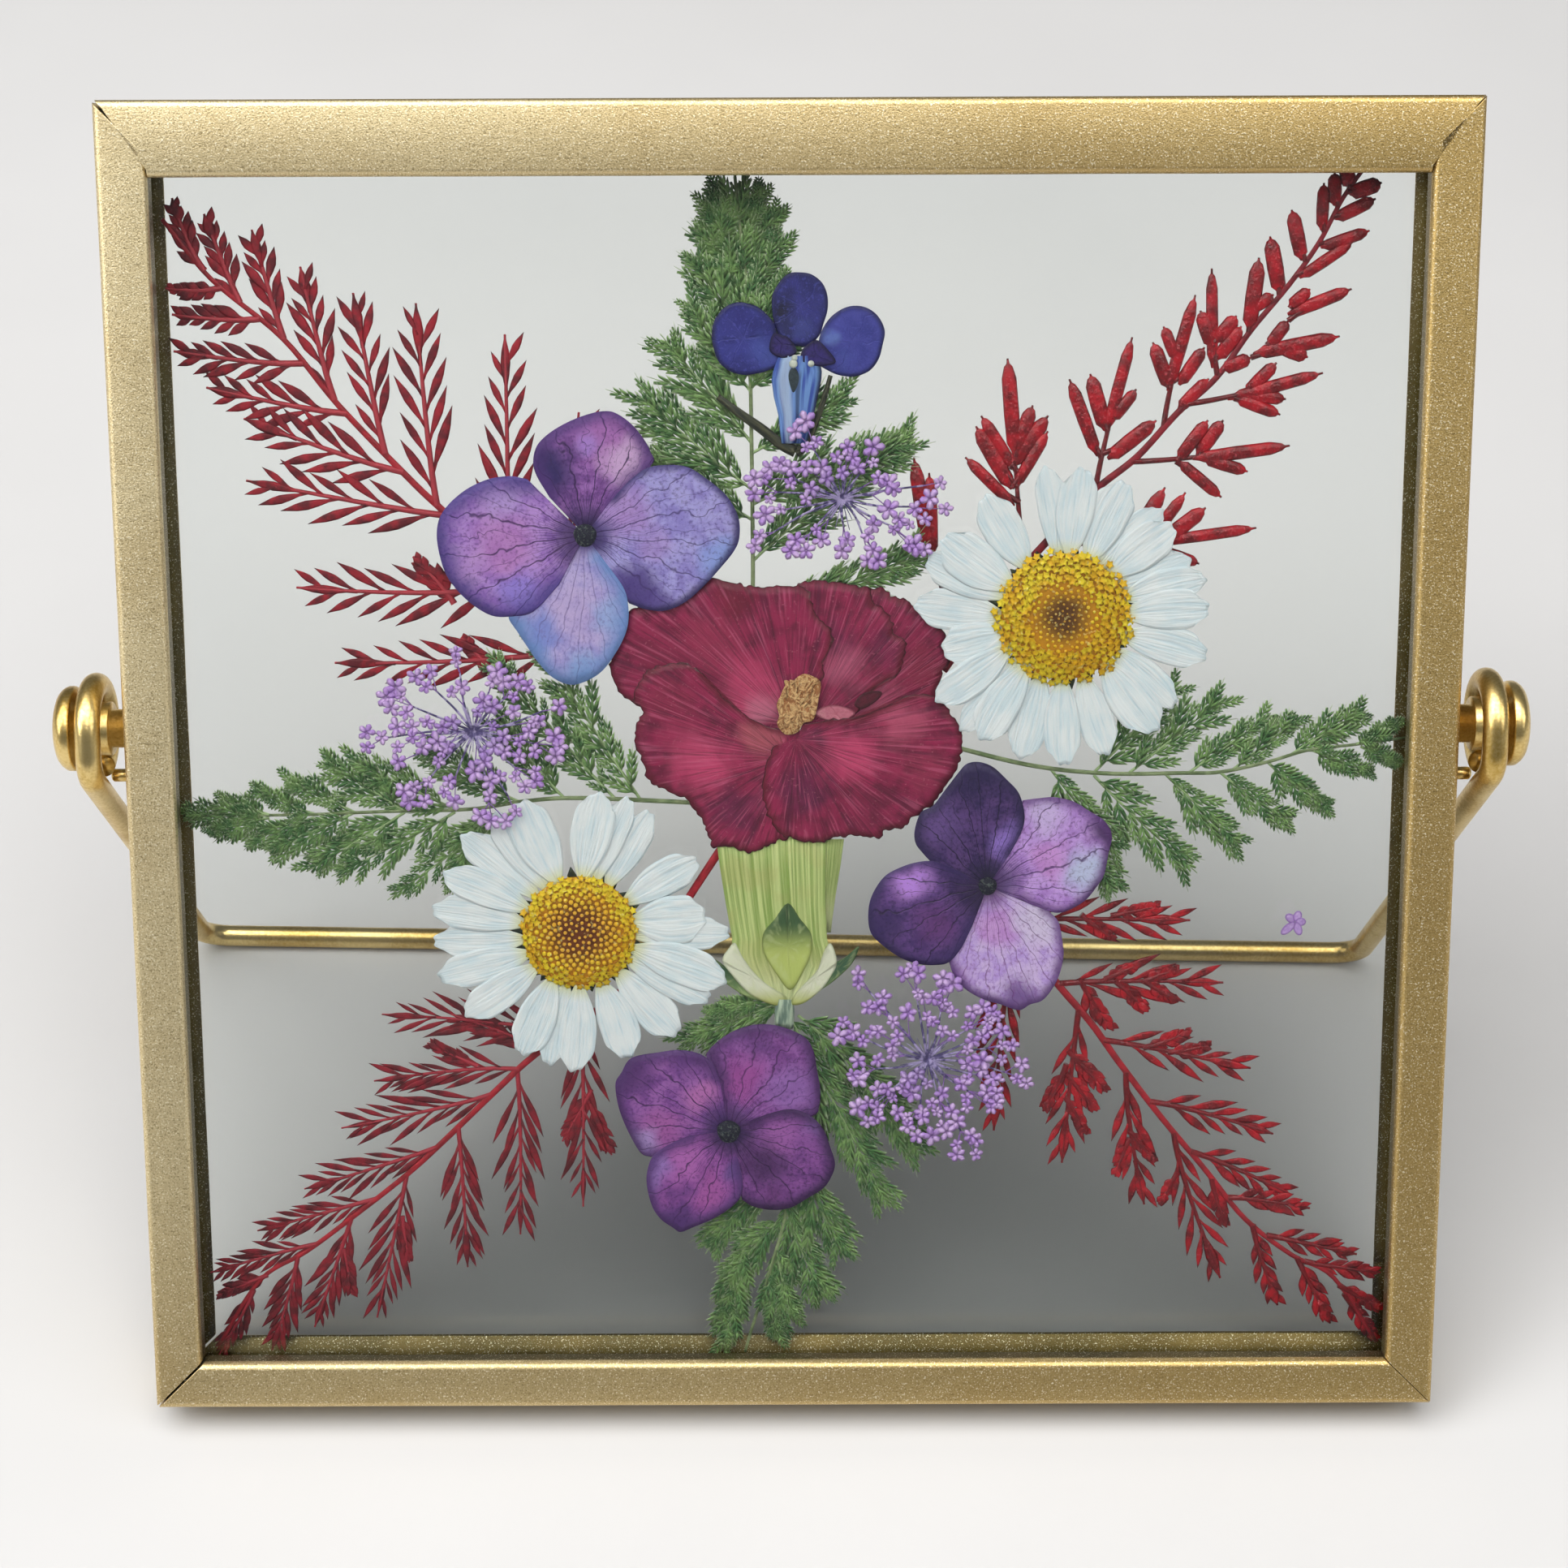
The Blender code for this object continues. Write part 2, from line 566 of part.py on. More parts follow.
# Each sepal's outline, from the flower's middle outwards and back
UPPER_LEFT_HYDRANGEA = [
    [(0, 0), (-4.5, 8.7), (-1.4, 11.2), (2.5, 12), (5.9, 9.2), (6.7, 7), (4.8, 5.1)],
    [(0, 0), (4.4, 5.3), (7.9, 6.8), (11.8, 5.5), (14.9, 1.8), (14.4, -1.7), (9.8, -6.5), (5.9, -7.3)],
    [(0, 0), (-5.5, 5.5), (-9.6, 5.4), (-13.8, 2.3), (-14.1, -2.2), (-11.5, -6.4), (-7.2, -7.9)],
    [(0, 0), (-7.2, -7.3), (-5.8, -11), (-1.7, -14.7), (1.6, -13.2), (4, -9), (3.6, -5)]]
RIGHT_HYDRANGEA = [
    [(0, 0), (-6.5, 3.4), (-7.3, 5.7), (-4.3, 9.8), (-1, 12.6), (2.9, 9.6), (3.6, 6.9)],
    [(0, 0), (3.4, 8.7), (6.5, 9), (10, 7.6), (12.3, 5.1), (10.9, -0.1), (7.2, -2.8)],
    [(0, 0), (-3.8, -7.8), (-2.2, -10.6), (3.3, -12.9), (6.6, -10.7), (7.5, -5.4), (6, -2.5)],
    [(0, 0), (-5.1, 2.5), (-8.8, 1.9), (-11.9, -3.1), (-8.7, -7.3), (-5, -8.1), (-2.6, -6.4)]]
BOTTOM_HYDRANGEA = [
    [(0, 0), (-2.2, 8.1), (0.7, 10.6), (4.3, 11.2), (8.6, 8.5), (9.2, 2.6), (5.7, 0.9)],
    [(0, 0), (4.6, 2), (8.3, 1.6), (10.8, -3.5), (9.6, -6.1), (4.2, -8.4), (1.3, -7.3)],
    [(0, 0), (-0.9, 5.7), (-4.8, 8.6), (-9.7, 7.8), (-11.4, 5.1), (-9.6, -1.2), (-7.9, -2.7)],
    [(0, 0), (-5.6, -1.1), (-8.4, -5.2), (-7, -9.3), (-5, -10.7), (-0.1, -8.3), (1.4, -5.4)]]
KNOB_RADIUS = 1.1
KNOB_HEIGHT = 0.3

# A daisy's petals, (direction in degrees, reach in millimetres)
RIGHT_DAISY = [(98, 14.9), (83, 14.6), (66, 14.5), (48, 14.1), (40, 13.5), (25, 13.3), (15, 14), (3, 13.7),
               (-17, 13.9), (-41, 14.2), (-52, 14.4), (-73, 14.3), (-89, 14.5), (-108, 14.6),
               (-123, 14.3), (-131, 14.9), (-147, 14.5), (-167, 12), (176, 14.3), (154, 14.2),
               (144, 12.7), (125, 13.8)]
LEFT_DAISY = [(81, 14), (70, 14.2), (60, 13.7), (31, 13.5), (6, 12.2), (0, 14.7), (-20, 15.3), (-30, 14.4),
              (-49, 13.8), (-70, 13.4), (-94, 14), (-105, 13.7), (-115, 13.5), (-144, 13.8),
              (-163, 14.4), (-178, 14.1), (169, 14.3), (156, 14.3), (139, 14.8), (124, 14.6), (113, 14.2)]
DAISY_PETAL = [(0.3, 1.1), (0.62, 1.75), (0.88, 1.35), (1.0, 0.5)]   # share of the reach, half width

CARNATION_BLOOM = [(-17.6, 10.2), (-15.8, 7.1), (-15.4, 3.3), (-14.1, -0.8), (-10.7, -2.5), (-8.6, -5.4),
                   (-7.4, -7.6), (-4.4, -8.1), (-0.5, -6.5), (2.8, -7.1), (8.7, -6.7), (11.1, -5.6),
                   (15.1, -1.6), (16.9, 3.7), (14.1, 7.7), (15.6, 10.8), (14, 15.6), (9.8, 17.6),
                   (3.7, 19), (-3.2, 18.6), (-7.9, 18.8), (-11, 16.4), (-15.4, 15.8), (-17.1, 11.4)]
CARNATION_CALYX = [(-6.1, -4), (-5.9, -13.7), (-5.8, -17.1), (-6.2, -19.6), (-2.2, -23.7), (0.8, -23.7),
                   (6.4, -17.6), (3.9, -17.2), (5.1, -6.8), (4.5, -4)]
CARNATION_STEM = [(-1.8, -22), (-1.8, -25.8), (0.3, -25.8), (0.1, -22)]

LOBELIA = [
    [(-1.4, 43.6), (-4.1, 45.9), (-7.2, 44.4), (-7.4, 41.8), (-4.6, 39.1), (-0.5, 40)],
    [(-1.4, 43), (-1.7, 46.6), (1, 48.8), (3.6, 46.6), (2.8, 42.8)],
    [(2.4, 42.6), (5.8, 45.6), (8.4, 44.7), (8.5, 40.5), (4.8, 39), (2.2, 40)],
    [(-1.4, 42), (-1.6, 37), (-0.9, 32.7), (1.8, 32.7), (2.7, 37.1), (3.2, 42)]]
LOBELIA_PEDICEL = [(-7, 37), (-4.8, 35.4), (-2.7, 33.7), (-0.9, 32.4), (2.1, 33.2), (3.7, 37.3)]

# An umbel's outer florets, from its middle
TOP_UMBEL = [(-4, 7), (3, 4.5), (-7, 3), (-7, -1), (-8.5, -4), (-4.5, -4.5), (0, -5), (3, -5.5),
             (7.5, -5), (8, -1.5), (9.5, 0.5)]
LEFT_UMBEL = [(-1.5, 7.5), (-5, 5.5), (-7.5, 3.5), (-10, -0.5), (-6.5, -6), (1, -8.5), (3.5, -8.5),
              (5.5, -5), (8.5, -1.5), (8.5, 2.5), (2.5, 6)]
LOWER_RIGHT_UMBEL = [(-7, 8.5), (-1.5, 9), (2, 8), (-8.5, 3), (-7, -1.5), (-6, -5.5), (-2, -7),
                     (1.5, -7), (4.5, -9), (9.5, -1.5), (6, 5)]
FLORET_RADIUS = 1.2
STRAY_FLORET = [(-0.7, 0.8), (0.2, 0.3), (0.8, -0.5), (0.4, -0.8), (0, -0.2), (-0.5, -0.1)]


def daisy_outlines(petals, disc_radius):
    outlines = [circle_outline(disc_radius * 1.02, 26)]
    for degrees, reach in petals:
        angle = math.radians(degrees)
        along = Vector((math.cos(angle), math.sin(angle)))
        across = Vector((-along.y, along.x))
        left = [along * reach * share + across * width for share, width in DAISY_PETAL]
        right = [along * reach * share - across * width for share, width in DAISY_PETAL]
        outlines.append(left + right[::-1])
    return outlines


def circle_outline(radius, sides, middle=(0.0, 0.0)):
    turns = [math.tau * side / sides for side in range(sides)]
    return [Vector(middle) + radius * Vector((math.cos(turn), math.sin(turn))) for turn in turns]


def umbel_outlines(florets):
    """Rays from the middle, each with a floret at its end, and the crowded middle."""
    outlines = [circle_outline(3.2, 10)]
    for floret in florets:
        place = Vector(floret)
        outlines.append(ribbon([place * 0.1, place], 0.5, 0.4))
        outlines.append(circle_outline(FLORET_RADIUS, 5, floret))
    return outlines


def red_fern(name, shape, parent):
    finish = material("red_fern", (0.35, 0.01, 0.02), 0.6)
    pressed(name, frond(half_width=RED_WIDTH, leaf_length=RED_LEAF, **shape), RED_LAYER, finish, parent)


def green_fern(name, shape, parent):
    finish = material("green_fern", (0.10, 0.17, 0.06), 0.7)
    pressed(name, frond(half_width=GREEN_WIDTH, leaf_length=GREEN_LEAF, **shape), GREEN_LAYER, finish, parent)


def hydrangea(name, sepals, centre, parent):
    finish = material("hydrangea", (0.28, 0.16, 0.50), 0.6)
    outlines = [smooth_outline(sepal) for sepal in sepals] + [circle_outline(2.0, 10)]
    obj = pressed(name, outlines, FRONT_LAYER, finish, parent, centre)
    raise_dome(obj, KNOB_RADIUS, KNOB_HEIGHT, parent)


def daisy(name, petals, disc_radius, dome_height, layer, centre, parent):
    finish = material("daisy", (0.85, 0.90, 0.92), 0.6)
    obj = pressed(name, daisy_outlines(petals, disc_radius), layer, finish, parent, centre)
    raise_dome(obj, disc_radius, dome_height, parent)


def carnation(name, parent):
    outlines = [smooth_outline(CARNATION_BLOOM, 1), CARNATION_CALYX, CARNATION_STEM]
    pressed(name, outlines, MIDDLE_LAYER, material("carnation", (0.33, 0.04, 0.10), 0.6), parent)


def lobelia(name, parent):
    outlines = [smooth_outline(lobe) for lobe in LOBELIA]
    outlines.append(ribbon(LOBELIA_PEDICEL, 0.8, 0.4))
    pressed(name, outlines, MIDDLE_LAYER, material("lobelia", (0.05, 0.06, 0.33), 0.5), parent)


def umbel(name, florets, centre, parent):
    finish = material("umbel", (0.48, 0.32, 0.62), 0.6)
    pressed(name, umbel_outlines(florets), UMBEL_LAYER, finish, parent, centre)


# ---------------------------------------------------------------- assembly

def upright_location():
    """Where the leaning frame's middle stands, for the frame to rest on its lower back edge with
    the origin under the middle of its bounding box."""
    half = FRAME_SIDE / 2
    height = (half - BEND_RADIUS) * math.cos(LEAN) + (FRAME_DEPTH - BEND_RADIUS) * math.sin(LEAN) + BEND_RADIUS
    return Vector((0.0, -FRAME_DEPTH * math.cos(LEAN) / 2, height)) * MM


def pivot_world():
    """The middle of the hinge's axis, in the world."""
    lean = Matrix.Rotation(-LEAN, 3, "X")
    return upright_location() + lean @ Vector((0.0, PIVOT_DEPTH, PIVOT_HEIGHT)) * MM


clear_scene()
PARTS = new_collection("pressed_flower_frame")
CUTTERS = new_collection("cutters")
upright = add_empty("upright", upright_location(), (-LEAN, 0.0, 0.0))
stand_pivot = add_empty("stand_pivot", pivot_world())

rail("bottom_rail", 0, LIP, upright)
rail("left_rail", 90, LIP, upright)
rail("top_rail", 180, TOP_LIP, upright)
rail("right_rail", 270, LIP, upright)
pane("front_pane", FRONT_PANE_DEPTH, upright)
pane("back_pane", BACK_PANE_DEPTH, upright)

for side_name, side_sign in (("left", -1), ("right", 1)):
    pivot_pin(side_name + "_pivot_pin", side_sign, upright)
    stop_pin(side_name + "_stop_pin", side_sign, upright)
stand(stand_pivot)

red_fern("upper_left_fern", UPPER_LEFT_FERN, upright)
red_fern("upper_right_fern", UPPER_RIGHT_FERN, upright)
red_fern("lower_left_fern", LOWER_LEFT_FERN, upright)
red_fern("lower_right_fern", LOWER_RIGHT_FERN, upright)
green_fern("top_green_fern", TOP_GREEN_FERN, upright)
green_fern("left_green_fern", LEFT_GREEN_FERN, upright)
green_fern("right_green_fern", RIGHT_GREEN_FERN, upright)
green_fern("bottom_green_fern", BOTTOM_GREEN_FERN, upright)

hydrangea("upper_left_hydrangea", UPPER_LEFT_HYDRANGEA, (-20, 23.7), upright)
hydrangea("right_hydrangea", RIGHT_HYDRANGEA, (19.5, -11.5), upright)
hydrangea("bottom_hydrangea", BOTTOM_HYDRANGEA, (-6.5, -37), upright)
daisy("right_daisy", RIGHT_DAISY, 6.3, 0.3, FRONT_LAYER, (26.7, 15.4), upright)
daisy("left_daisy", LEFT_DAISY, 5.7, 0.6, MIDDLE_LAYER, (-21.3, -16.1), upright)
carnation("carnation", upright)
lobelia("lobelia", upright)
umbel("top_umbel", TOP_UMBEL, (5, 27), upright)
umbel("left_umbel", LEFT_UMBEL, (-31.3, 4.4), upright)
umbel("lower_right_umbel", LOWER_RIGHT_UMBEL, (13.6, -29.4), upright)
pressed("stray_floret", [STRAY_FLORET], UMBEL_LAYER, material("umbel", (0.48, 0.32, 0.62), 0.6),
        upright, (50.3, -15.4))

for part in PARTS.objects:
    if part.name.endswith("_pin"):
        part.data.shade_smooth()
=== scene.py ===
# %% [markdown]
# # A pressed flower frame
#
# Two panes of glass hold pressed flowers and ferns. A channel of brass sheet runs round the
# panes, and a bent wire, hinged at both sides, holds the frame leaning back.
#
# The solids of this object are already made. Here each visible piece gets its final shape and
# its finish. All places are given on the upright frame in millimetres: x to the right, height
# from the middle, and depth back from the front face. One function leans them back.

import math
import random

import bmesh
import bpy
from mathutils import Matrix, Vector, noise


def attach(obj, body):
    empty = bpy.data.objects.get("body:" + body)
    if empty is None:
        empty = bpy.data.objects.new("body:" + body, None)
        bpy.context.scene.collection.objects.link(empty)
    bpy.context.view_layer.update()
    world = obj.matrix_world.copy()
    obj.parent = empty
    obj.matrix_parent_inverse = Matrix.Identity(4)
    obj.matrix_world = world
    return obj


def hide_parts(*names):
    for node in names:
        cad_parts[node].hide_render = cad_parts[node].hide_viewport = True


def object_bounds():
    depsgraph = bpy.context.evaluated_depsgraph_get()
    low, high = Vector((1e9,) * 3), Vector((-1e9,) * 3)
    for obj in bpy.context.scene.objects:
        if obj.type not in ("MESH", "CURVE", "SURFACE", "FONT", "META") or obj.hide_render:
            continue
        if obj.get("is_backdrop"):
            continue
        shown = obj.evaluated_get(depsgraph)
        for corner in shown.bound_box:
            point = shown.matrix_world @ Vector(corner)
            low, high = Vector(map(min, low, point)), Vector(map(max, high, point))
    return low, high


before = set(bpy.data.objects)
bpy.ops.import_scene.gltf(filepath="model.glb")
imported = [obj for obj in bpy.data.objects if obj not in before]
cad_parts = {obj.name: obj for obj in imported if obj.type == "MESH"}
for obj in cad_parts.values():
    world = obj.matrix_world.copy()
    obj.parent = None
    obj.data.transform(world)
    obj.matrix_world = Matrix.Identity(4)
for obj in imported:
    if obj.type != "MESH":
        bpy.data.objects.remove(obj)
cad_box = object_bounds()
print("solids:", len(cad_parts), "in a box of", [round(side, 4) for side in cad_box[1] - cad_box[0]])

# %% Sizes of the real thing
MM = 0.001
FRAME_SIDE = 130.0
FRAME_DEPTH = 8.5
SHEET = 0.6
BEND_RADIUS = 0.7
LIP = 4.8
TOP_LIP = 7.1
FRONT_RETURN = 2.5
LEAN = math.radians(32)
PIVOT_HEIGHT = 4.8
PIVOT_DEPTH = 4.25

UP = Vector((0.0, math.sin(LEAN), math.cos(LEAN)))
BACK = Vector((0.0, math.cos(LEAN), -math.sin(LEAN)))
MIDDLE = Vector((0.0, -FRAME_DEPTH * math.cos(LEAN) / 2,
                 (FRAME_SIDE / 2 - BEND_RADIUS) * math.cos(LEAN)
                 + (FRAME_DEPTH - BEND_RADIUS) * math.sin(LEAN) + BEND_RADIUS))


def on_frame(x, height, depth):
    """A point of the upright frame, where the leaning frame has it."""
    return (MIDDLE + Vector((x, 0.0, 0.0)) + UP * height + BACK * depth) * MM


print("the frame's middle stands", round(MIDDLE.z, 1), "mm high")

# %% [markdown]
# ## Camera
#
# The photograph was taken from in front and above, about 28 centimetres away, so the frame's
# bottom looks wider than its top. The camera stands at a point measured on the frame's own
# axes and looks along a measured line.

# %% Camera
CAMERA_PLACE = (-0.69, 57.25, -278.85)     # x, height and depth on the upright frame
CAMERA_SIGHT = (-0.0002, -0.2017, 0.9794)
CAMERA_ROLL = math.radians(0.23)
LENS = 67.08

camera_data = bpy.data.cameras.new("camera")
camera_data.lens = LENS
camera_data.sensor_width = 36.0
camera_data.clip_start = 0.01
camera = bpy.data.objects.new("camera", camera_data)
bpy.context.scene.collection.objects.link(camera)
sight = (Vector((CAMERA_SIGHT[0], 0, 0)) + UP * CAMERA_SIGHT[1] + BACK * CAMERA_SIGHT[2]).normalized()
level = sight.cross(Vector((0, 0, 1))).normalized()
axes = Matrix((level, level.cross(sight), -sight)).transposed().to_4x4()
roll = Matrix.Rotation(CAMERA_ROLL, 4, sight)
camera.matrix_world = Matrix.Translation(on_frame(*CAMERA_PLACE)) @ roll @ axes
bpy.context.scene.camera = camera
print("camera at", [round(place, 3) for place in camera.matrix_world.translation])

# %% [markdown]
# ## Floor and light
#
# A plain pale floor and large soft lights: a broad one overhead, one high on the left, as from a
# window, and a weak one on the right. None stands where the panes would mirror it to the camera,
# and the room itself is dim, so that the glass stays clear.

# %% Floor and light
bpy.context.scene.view_settings.view_transform = "Standard"


def area_light(name, place, target, size, power):
    data = bpy.data.lights.new(name, "AREA")
    data.shape = "RECTANGLE"
    data.size, data.size_y = size
    data.energy = power
    light = bpy.data.objects.new(name, data)
    bpy.context.scene.collection.objects.link(light)
    light.location = place
    light.rotation_euler = (Vector(target) - Vector(place)).to_track_quat("-Z", "Y").to_euler()


area_light("overhead", (-0.1, -0.2, 1.2), (0, 0.05, 0.05), (1.5, 0.9), 19.0)
area_light("window", (-0.85, -0.25, 0.75), (0, 0, 0.05), (0.7, 0.9), 9.0)
area_light("fill", (0.85, -0.3, 0.7), (0, 0, 0.05), (0.6, 0.6), 3.0)

world = bpy.data.worlds.new("room")
bpy.context.scene.world = world
world.use_nodes = True
world.node_tree.nodes["Background"].inputs["Color"].default_value = (0.86, 0.90, 0.95, 1)
world.node_tree.nodes["Background"].inputs["Strength"].default_value = 0.16

floor_mesh = bpy.data.meshes.new("floor")
floor_mesh.from_pydata([(-3, -3, 0), (3, -3, 0), (3, 3, 0), (-3, 3, 0)], [], [(0, 1, 2, 3)])
floor = bpy.data.objects.new("floor", floor_mesh)
bpy.context.scene.collection.objects.link(floor)
floor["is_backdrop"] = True

# %% [markdown]
# ## Shader arithmetic
#
# Most finishes here are sums and products of a few patterns. A small class lets a socket of a
# node tree be added and multiplied like a number, so a finish reads as a formula. One method
# makes any other node.

# %% Shader arithmetic
class Socket:
    """One output of a node. Without a socket, it only makes other nodes."""

    def __init__(self, tree, socket=None):
        self.tree = tree
        self.socket = socket

    def make(self, kind, inputs=None, output=0, **settings):
        """Any node: its type, its inputs' values or sockets, and its settings."""
        node = self.tree.nodes.new(kind)
        for name, value in settings.items():
            setattr(node, name, value)
        for name, value in (inputs or {}).items():
            if isinstance(value, (Socket, list)):
                for source in value if isinstance(value, list) else [value]:
                    self.tree.links.new(source.socket, node.inputs[name])
            elif node.inputs[name].type == "RGBA":
                node.inputs[name].default_value = (*value, 1.0)
            else:
                node.inputs[name].default_value = value
        return Socket(self.tree, node.outputs[output])

    def math(self, operation, *values):
        kind = "ShaderNodeMath"
        if any(isinstance(value, Socket) and value.socket.type == "VECTOR" for value in values):
            kind = "ShaderNodeVectorMath"
        return self.make(kind, dict(enumerate(values)), operation=operation)

    def __add__(self, other):
        return self.math("ADD", self, other)

    def __radd__(self, other):
        return self.math("ADD", other, self)

    def __sub__(self, other):
        return self.math("SUBTRACT", self, other)

    def __rsub__(self, other):
        return self.math("SUBTRACT", other, self)

    def __mul__(self, other):
        return self.math("MULTIPLY", self, other)

    def __rmul__(self, other):
        return self.math("MULTIPLY", other, self)

    def __truediv__(self, other):
        return self.math("DIVIDE", self, other)

    def __rtruediv__(self, other):
        return self.math("DIVIDE", other, self)

    def apply(self, operation, *others):
        """This value, with the others, through one operation."""
        return self.math(operation, self, *others)

    def rise(self, start, end):
        """From 0 at start to 1 at end, smoothly."""
        return self.make("ShaderNodeMapRange", {"Value": self, "From Min": start, "From Max": end},
                         interpolation_type="SMOOTHSTEP")

    def fall(self, start, end):
        return 1.0 - self.rise(start, end)

    def blend(self, colour, other):
        """The first colour where this is 0, and the other where it is 1."""
        return self.make("ShaderNodeMix", {0: self, 6: paint(colour), 7: paint(other)},
                         output=2, data_type="RGBA")

    def towards(self, direction):
        """How far this place lies along a direction, from the frame's middle, in millimetres."""
        far = self.make("ShaderNodeVectorMath", {0: self, 1: tuple(direction)},
                        output=1, operation="DOT_PRODUCT")
        return far / MM - MIDDLE.dot(direction)

    def part(self, axis):
        return self.make("ShaderNodeSeparateXYZ", {0: self}, output=axis)

    def vector(self, x=0.0, y=0.0, z=0.0):
        return self.make("ShaderNodeCombineXYZ", {0: x, 1: y, 2: z})

    def grain(self, size, detail=2.0, stretch=(1, 1, 1), warp=0.0):
        """Soft noise from 0 to 1 over this place; its grains are size millimetres across."""
        place = self.make("ShaderNodeMapping", {"Vector": self, "Scale": stretch})
        return self.make("ShaderNodeTexNoise", {"Vector": place, "Scale": 1 / (size * MM),
                                                "Detail": detail, "Distortion": warp})

    def waver(self, size, amount):
        """This place, moved a little by soft noise; both are millimetres."""
        colour = self.make("ShaderNodeTexNoise", {"Vector": self, "Scale": 1 / (size * MM)}, output=1)
        shift = self.make("ShaderNodeVectorMath", {0: colour, 1: (0.5, 0.5, 0.5)}, operation="SUBTRACT")
        return self + shift * ((2 * amount * MM,) * 3)

    def near(self, x, height, reach, depth=4.6):
        """1 at a point of the frame, and 0 further from it than reach."""
        spot = on_frame(x, height, depth)
        far = self.make("ShaderNodeVectorMath", {0: self, 1: spot}, output=1, operation="DISTANCE")
        return far.fall(0.25 * reach * MM, reach * MM)

    def lines(self, count, width, wander=0.0, spread=1.0):
        """Thin lines, 1 on each line and 0 between, evenly across this number from 0 to 1.
        Where they spread from one point, spread makes them as thin there."""
        far = self.math("PINGPONG", self * count + wander, 0.5)
        return (far * spread).fall(0, width)

    def marks(self):
        """A sheet's marks: across, along, and the distance from its edge."""
        petal = self.make("ShaderNodeUVMap", uv_map="petal")
        return petal.part(0), petal.part(1), self.make("ShaderNodeAttribute", output=2, attribute_name="rim")

    def streaks(self, count, length):
        """Fine streaks along a sheet, by its own marks."""
        across, along, _ = self.marks()
        spread = self.vector(across * float(count), along * float(length))
        return self.make("ShaderNodeTexNoise", {"Vector": spread, "Scale": 1.0, "Detail": 2.0})

# %% Colours and finishes
def paint(colour):
    """A paint chart's colour, from 0 to 255, in the shader's linear light. Sockets stay."""
    return colour if isinstance(colour, Socket) else tuple((part / 255) ** 2.2 for part in colour)


def layered(colour, *layers):
    """A colour with others laid over it, each where its own mask is 1."""
    for mask, other in layers:
        colour = mask.blend(colour, other)
    return colour


def spotted(colour, place, spots):
    """Soft spots on a colour: (x, height, reach, colour, strength), in the frame's millimetres."""
    return layered(colour, *((place.near(x, height, reach) * strength, spot)
                             for x, height, reach, spot, strength in spots))


def finish(name, vary, **fixed):
    """A material. vary(shade, place) gives its colour and its roughness over the surface, either
    of which may be None, and then perhaps a bump's height and its depth in millimetres. The
    fixed values go on the shader's own sockets."""
    made = bpy.data.materials.new(name)
    made.use_nodes = True
    shader = made.node_tree.nodes["Principled BSDF"]
    for socket, value in fixed.items():
        shader.inputs[socket.replace("_", " ")].default_value = value
    shade = Socket(made.node_tree)
    colour, roughness, *bump = vary(shade, shade.make("ShaderNodeTexCoord", output="Object"))
    normal = shade.make("ShaderNodeBump", {"Height": bump[0], "Distance": bump[1] * MM}) if bump else None
    for socket, value in {"Base Color": colour, "Roughness": roughness, "Normal": normal}.items():
        if value is not None:
            made.node_tree.links.new(value.socket, shader.inputs[socket])
    return made


def speckled(name, size, detail, ramp, colour, other, gloss, change, bump=None):
    """A finish of soft specks of two colours. The rougher specks add change to gloss."""
    def vary(shade, place):
        fleck = place.grain(size, detail)
        mask = fleck.rise(*ramp) if ramp else fleck
        return mask.blend(colour, other), gloss + fleck * change, *((fleck, bump) if bump else ())
    return finish(name, vary)


def floor_finish(shade, place):
    """Pale and faintly cloudy; its two colours are in linear light already."""
    cloud = place.grain(60, 3)
    return cloud.make("ShaderNodeMix", {0: cloud, 6: (0.52, 0.51, 0.5), 7: (0.57, 0.56, 0.55)},
                      output=2, data_type="RGBA"), None


floor.data.materials.append(finish("floor", floor_finish, Roughness=0.75))
print("camera, floor and lights are ready")

# %% [markdown]
# ## Pieces from points
#
# A piece is a list of points and faces in the upright frame's millimetres. With each point go
# three numbers for its finish: how far across a petal or leaf it lies, how far along, and its
# distance from the edge. A sheet is made as a grid of rows; a turned or bent piece is a tube.

# %% Pieces from points
def circle(count):
    """Turns in even steps once round."""
    return [math.tau * step / count for step in range(count)]


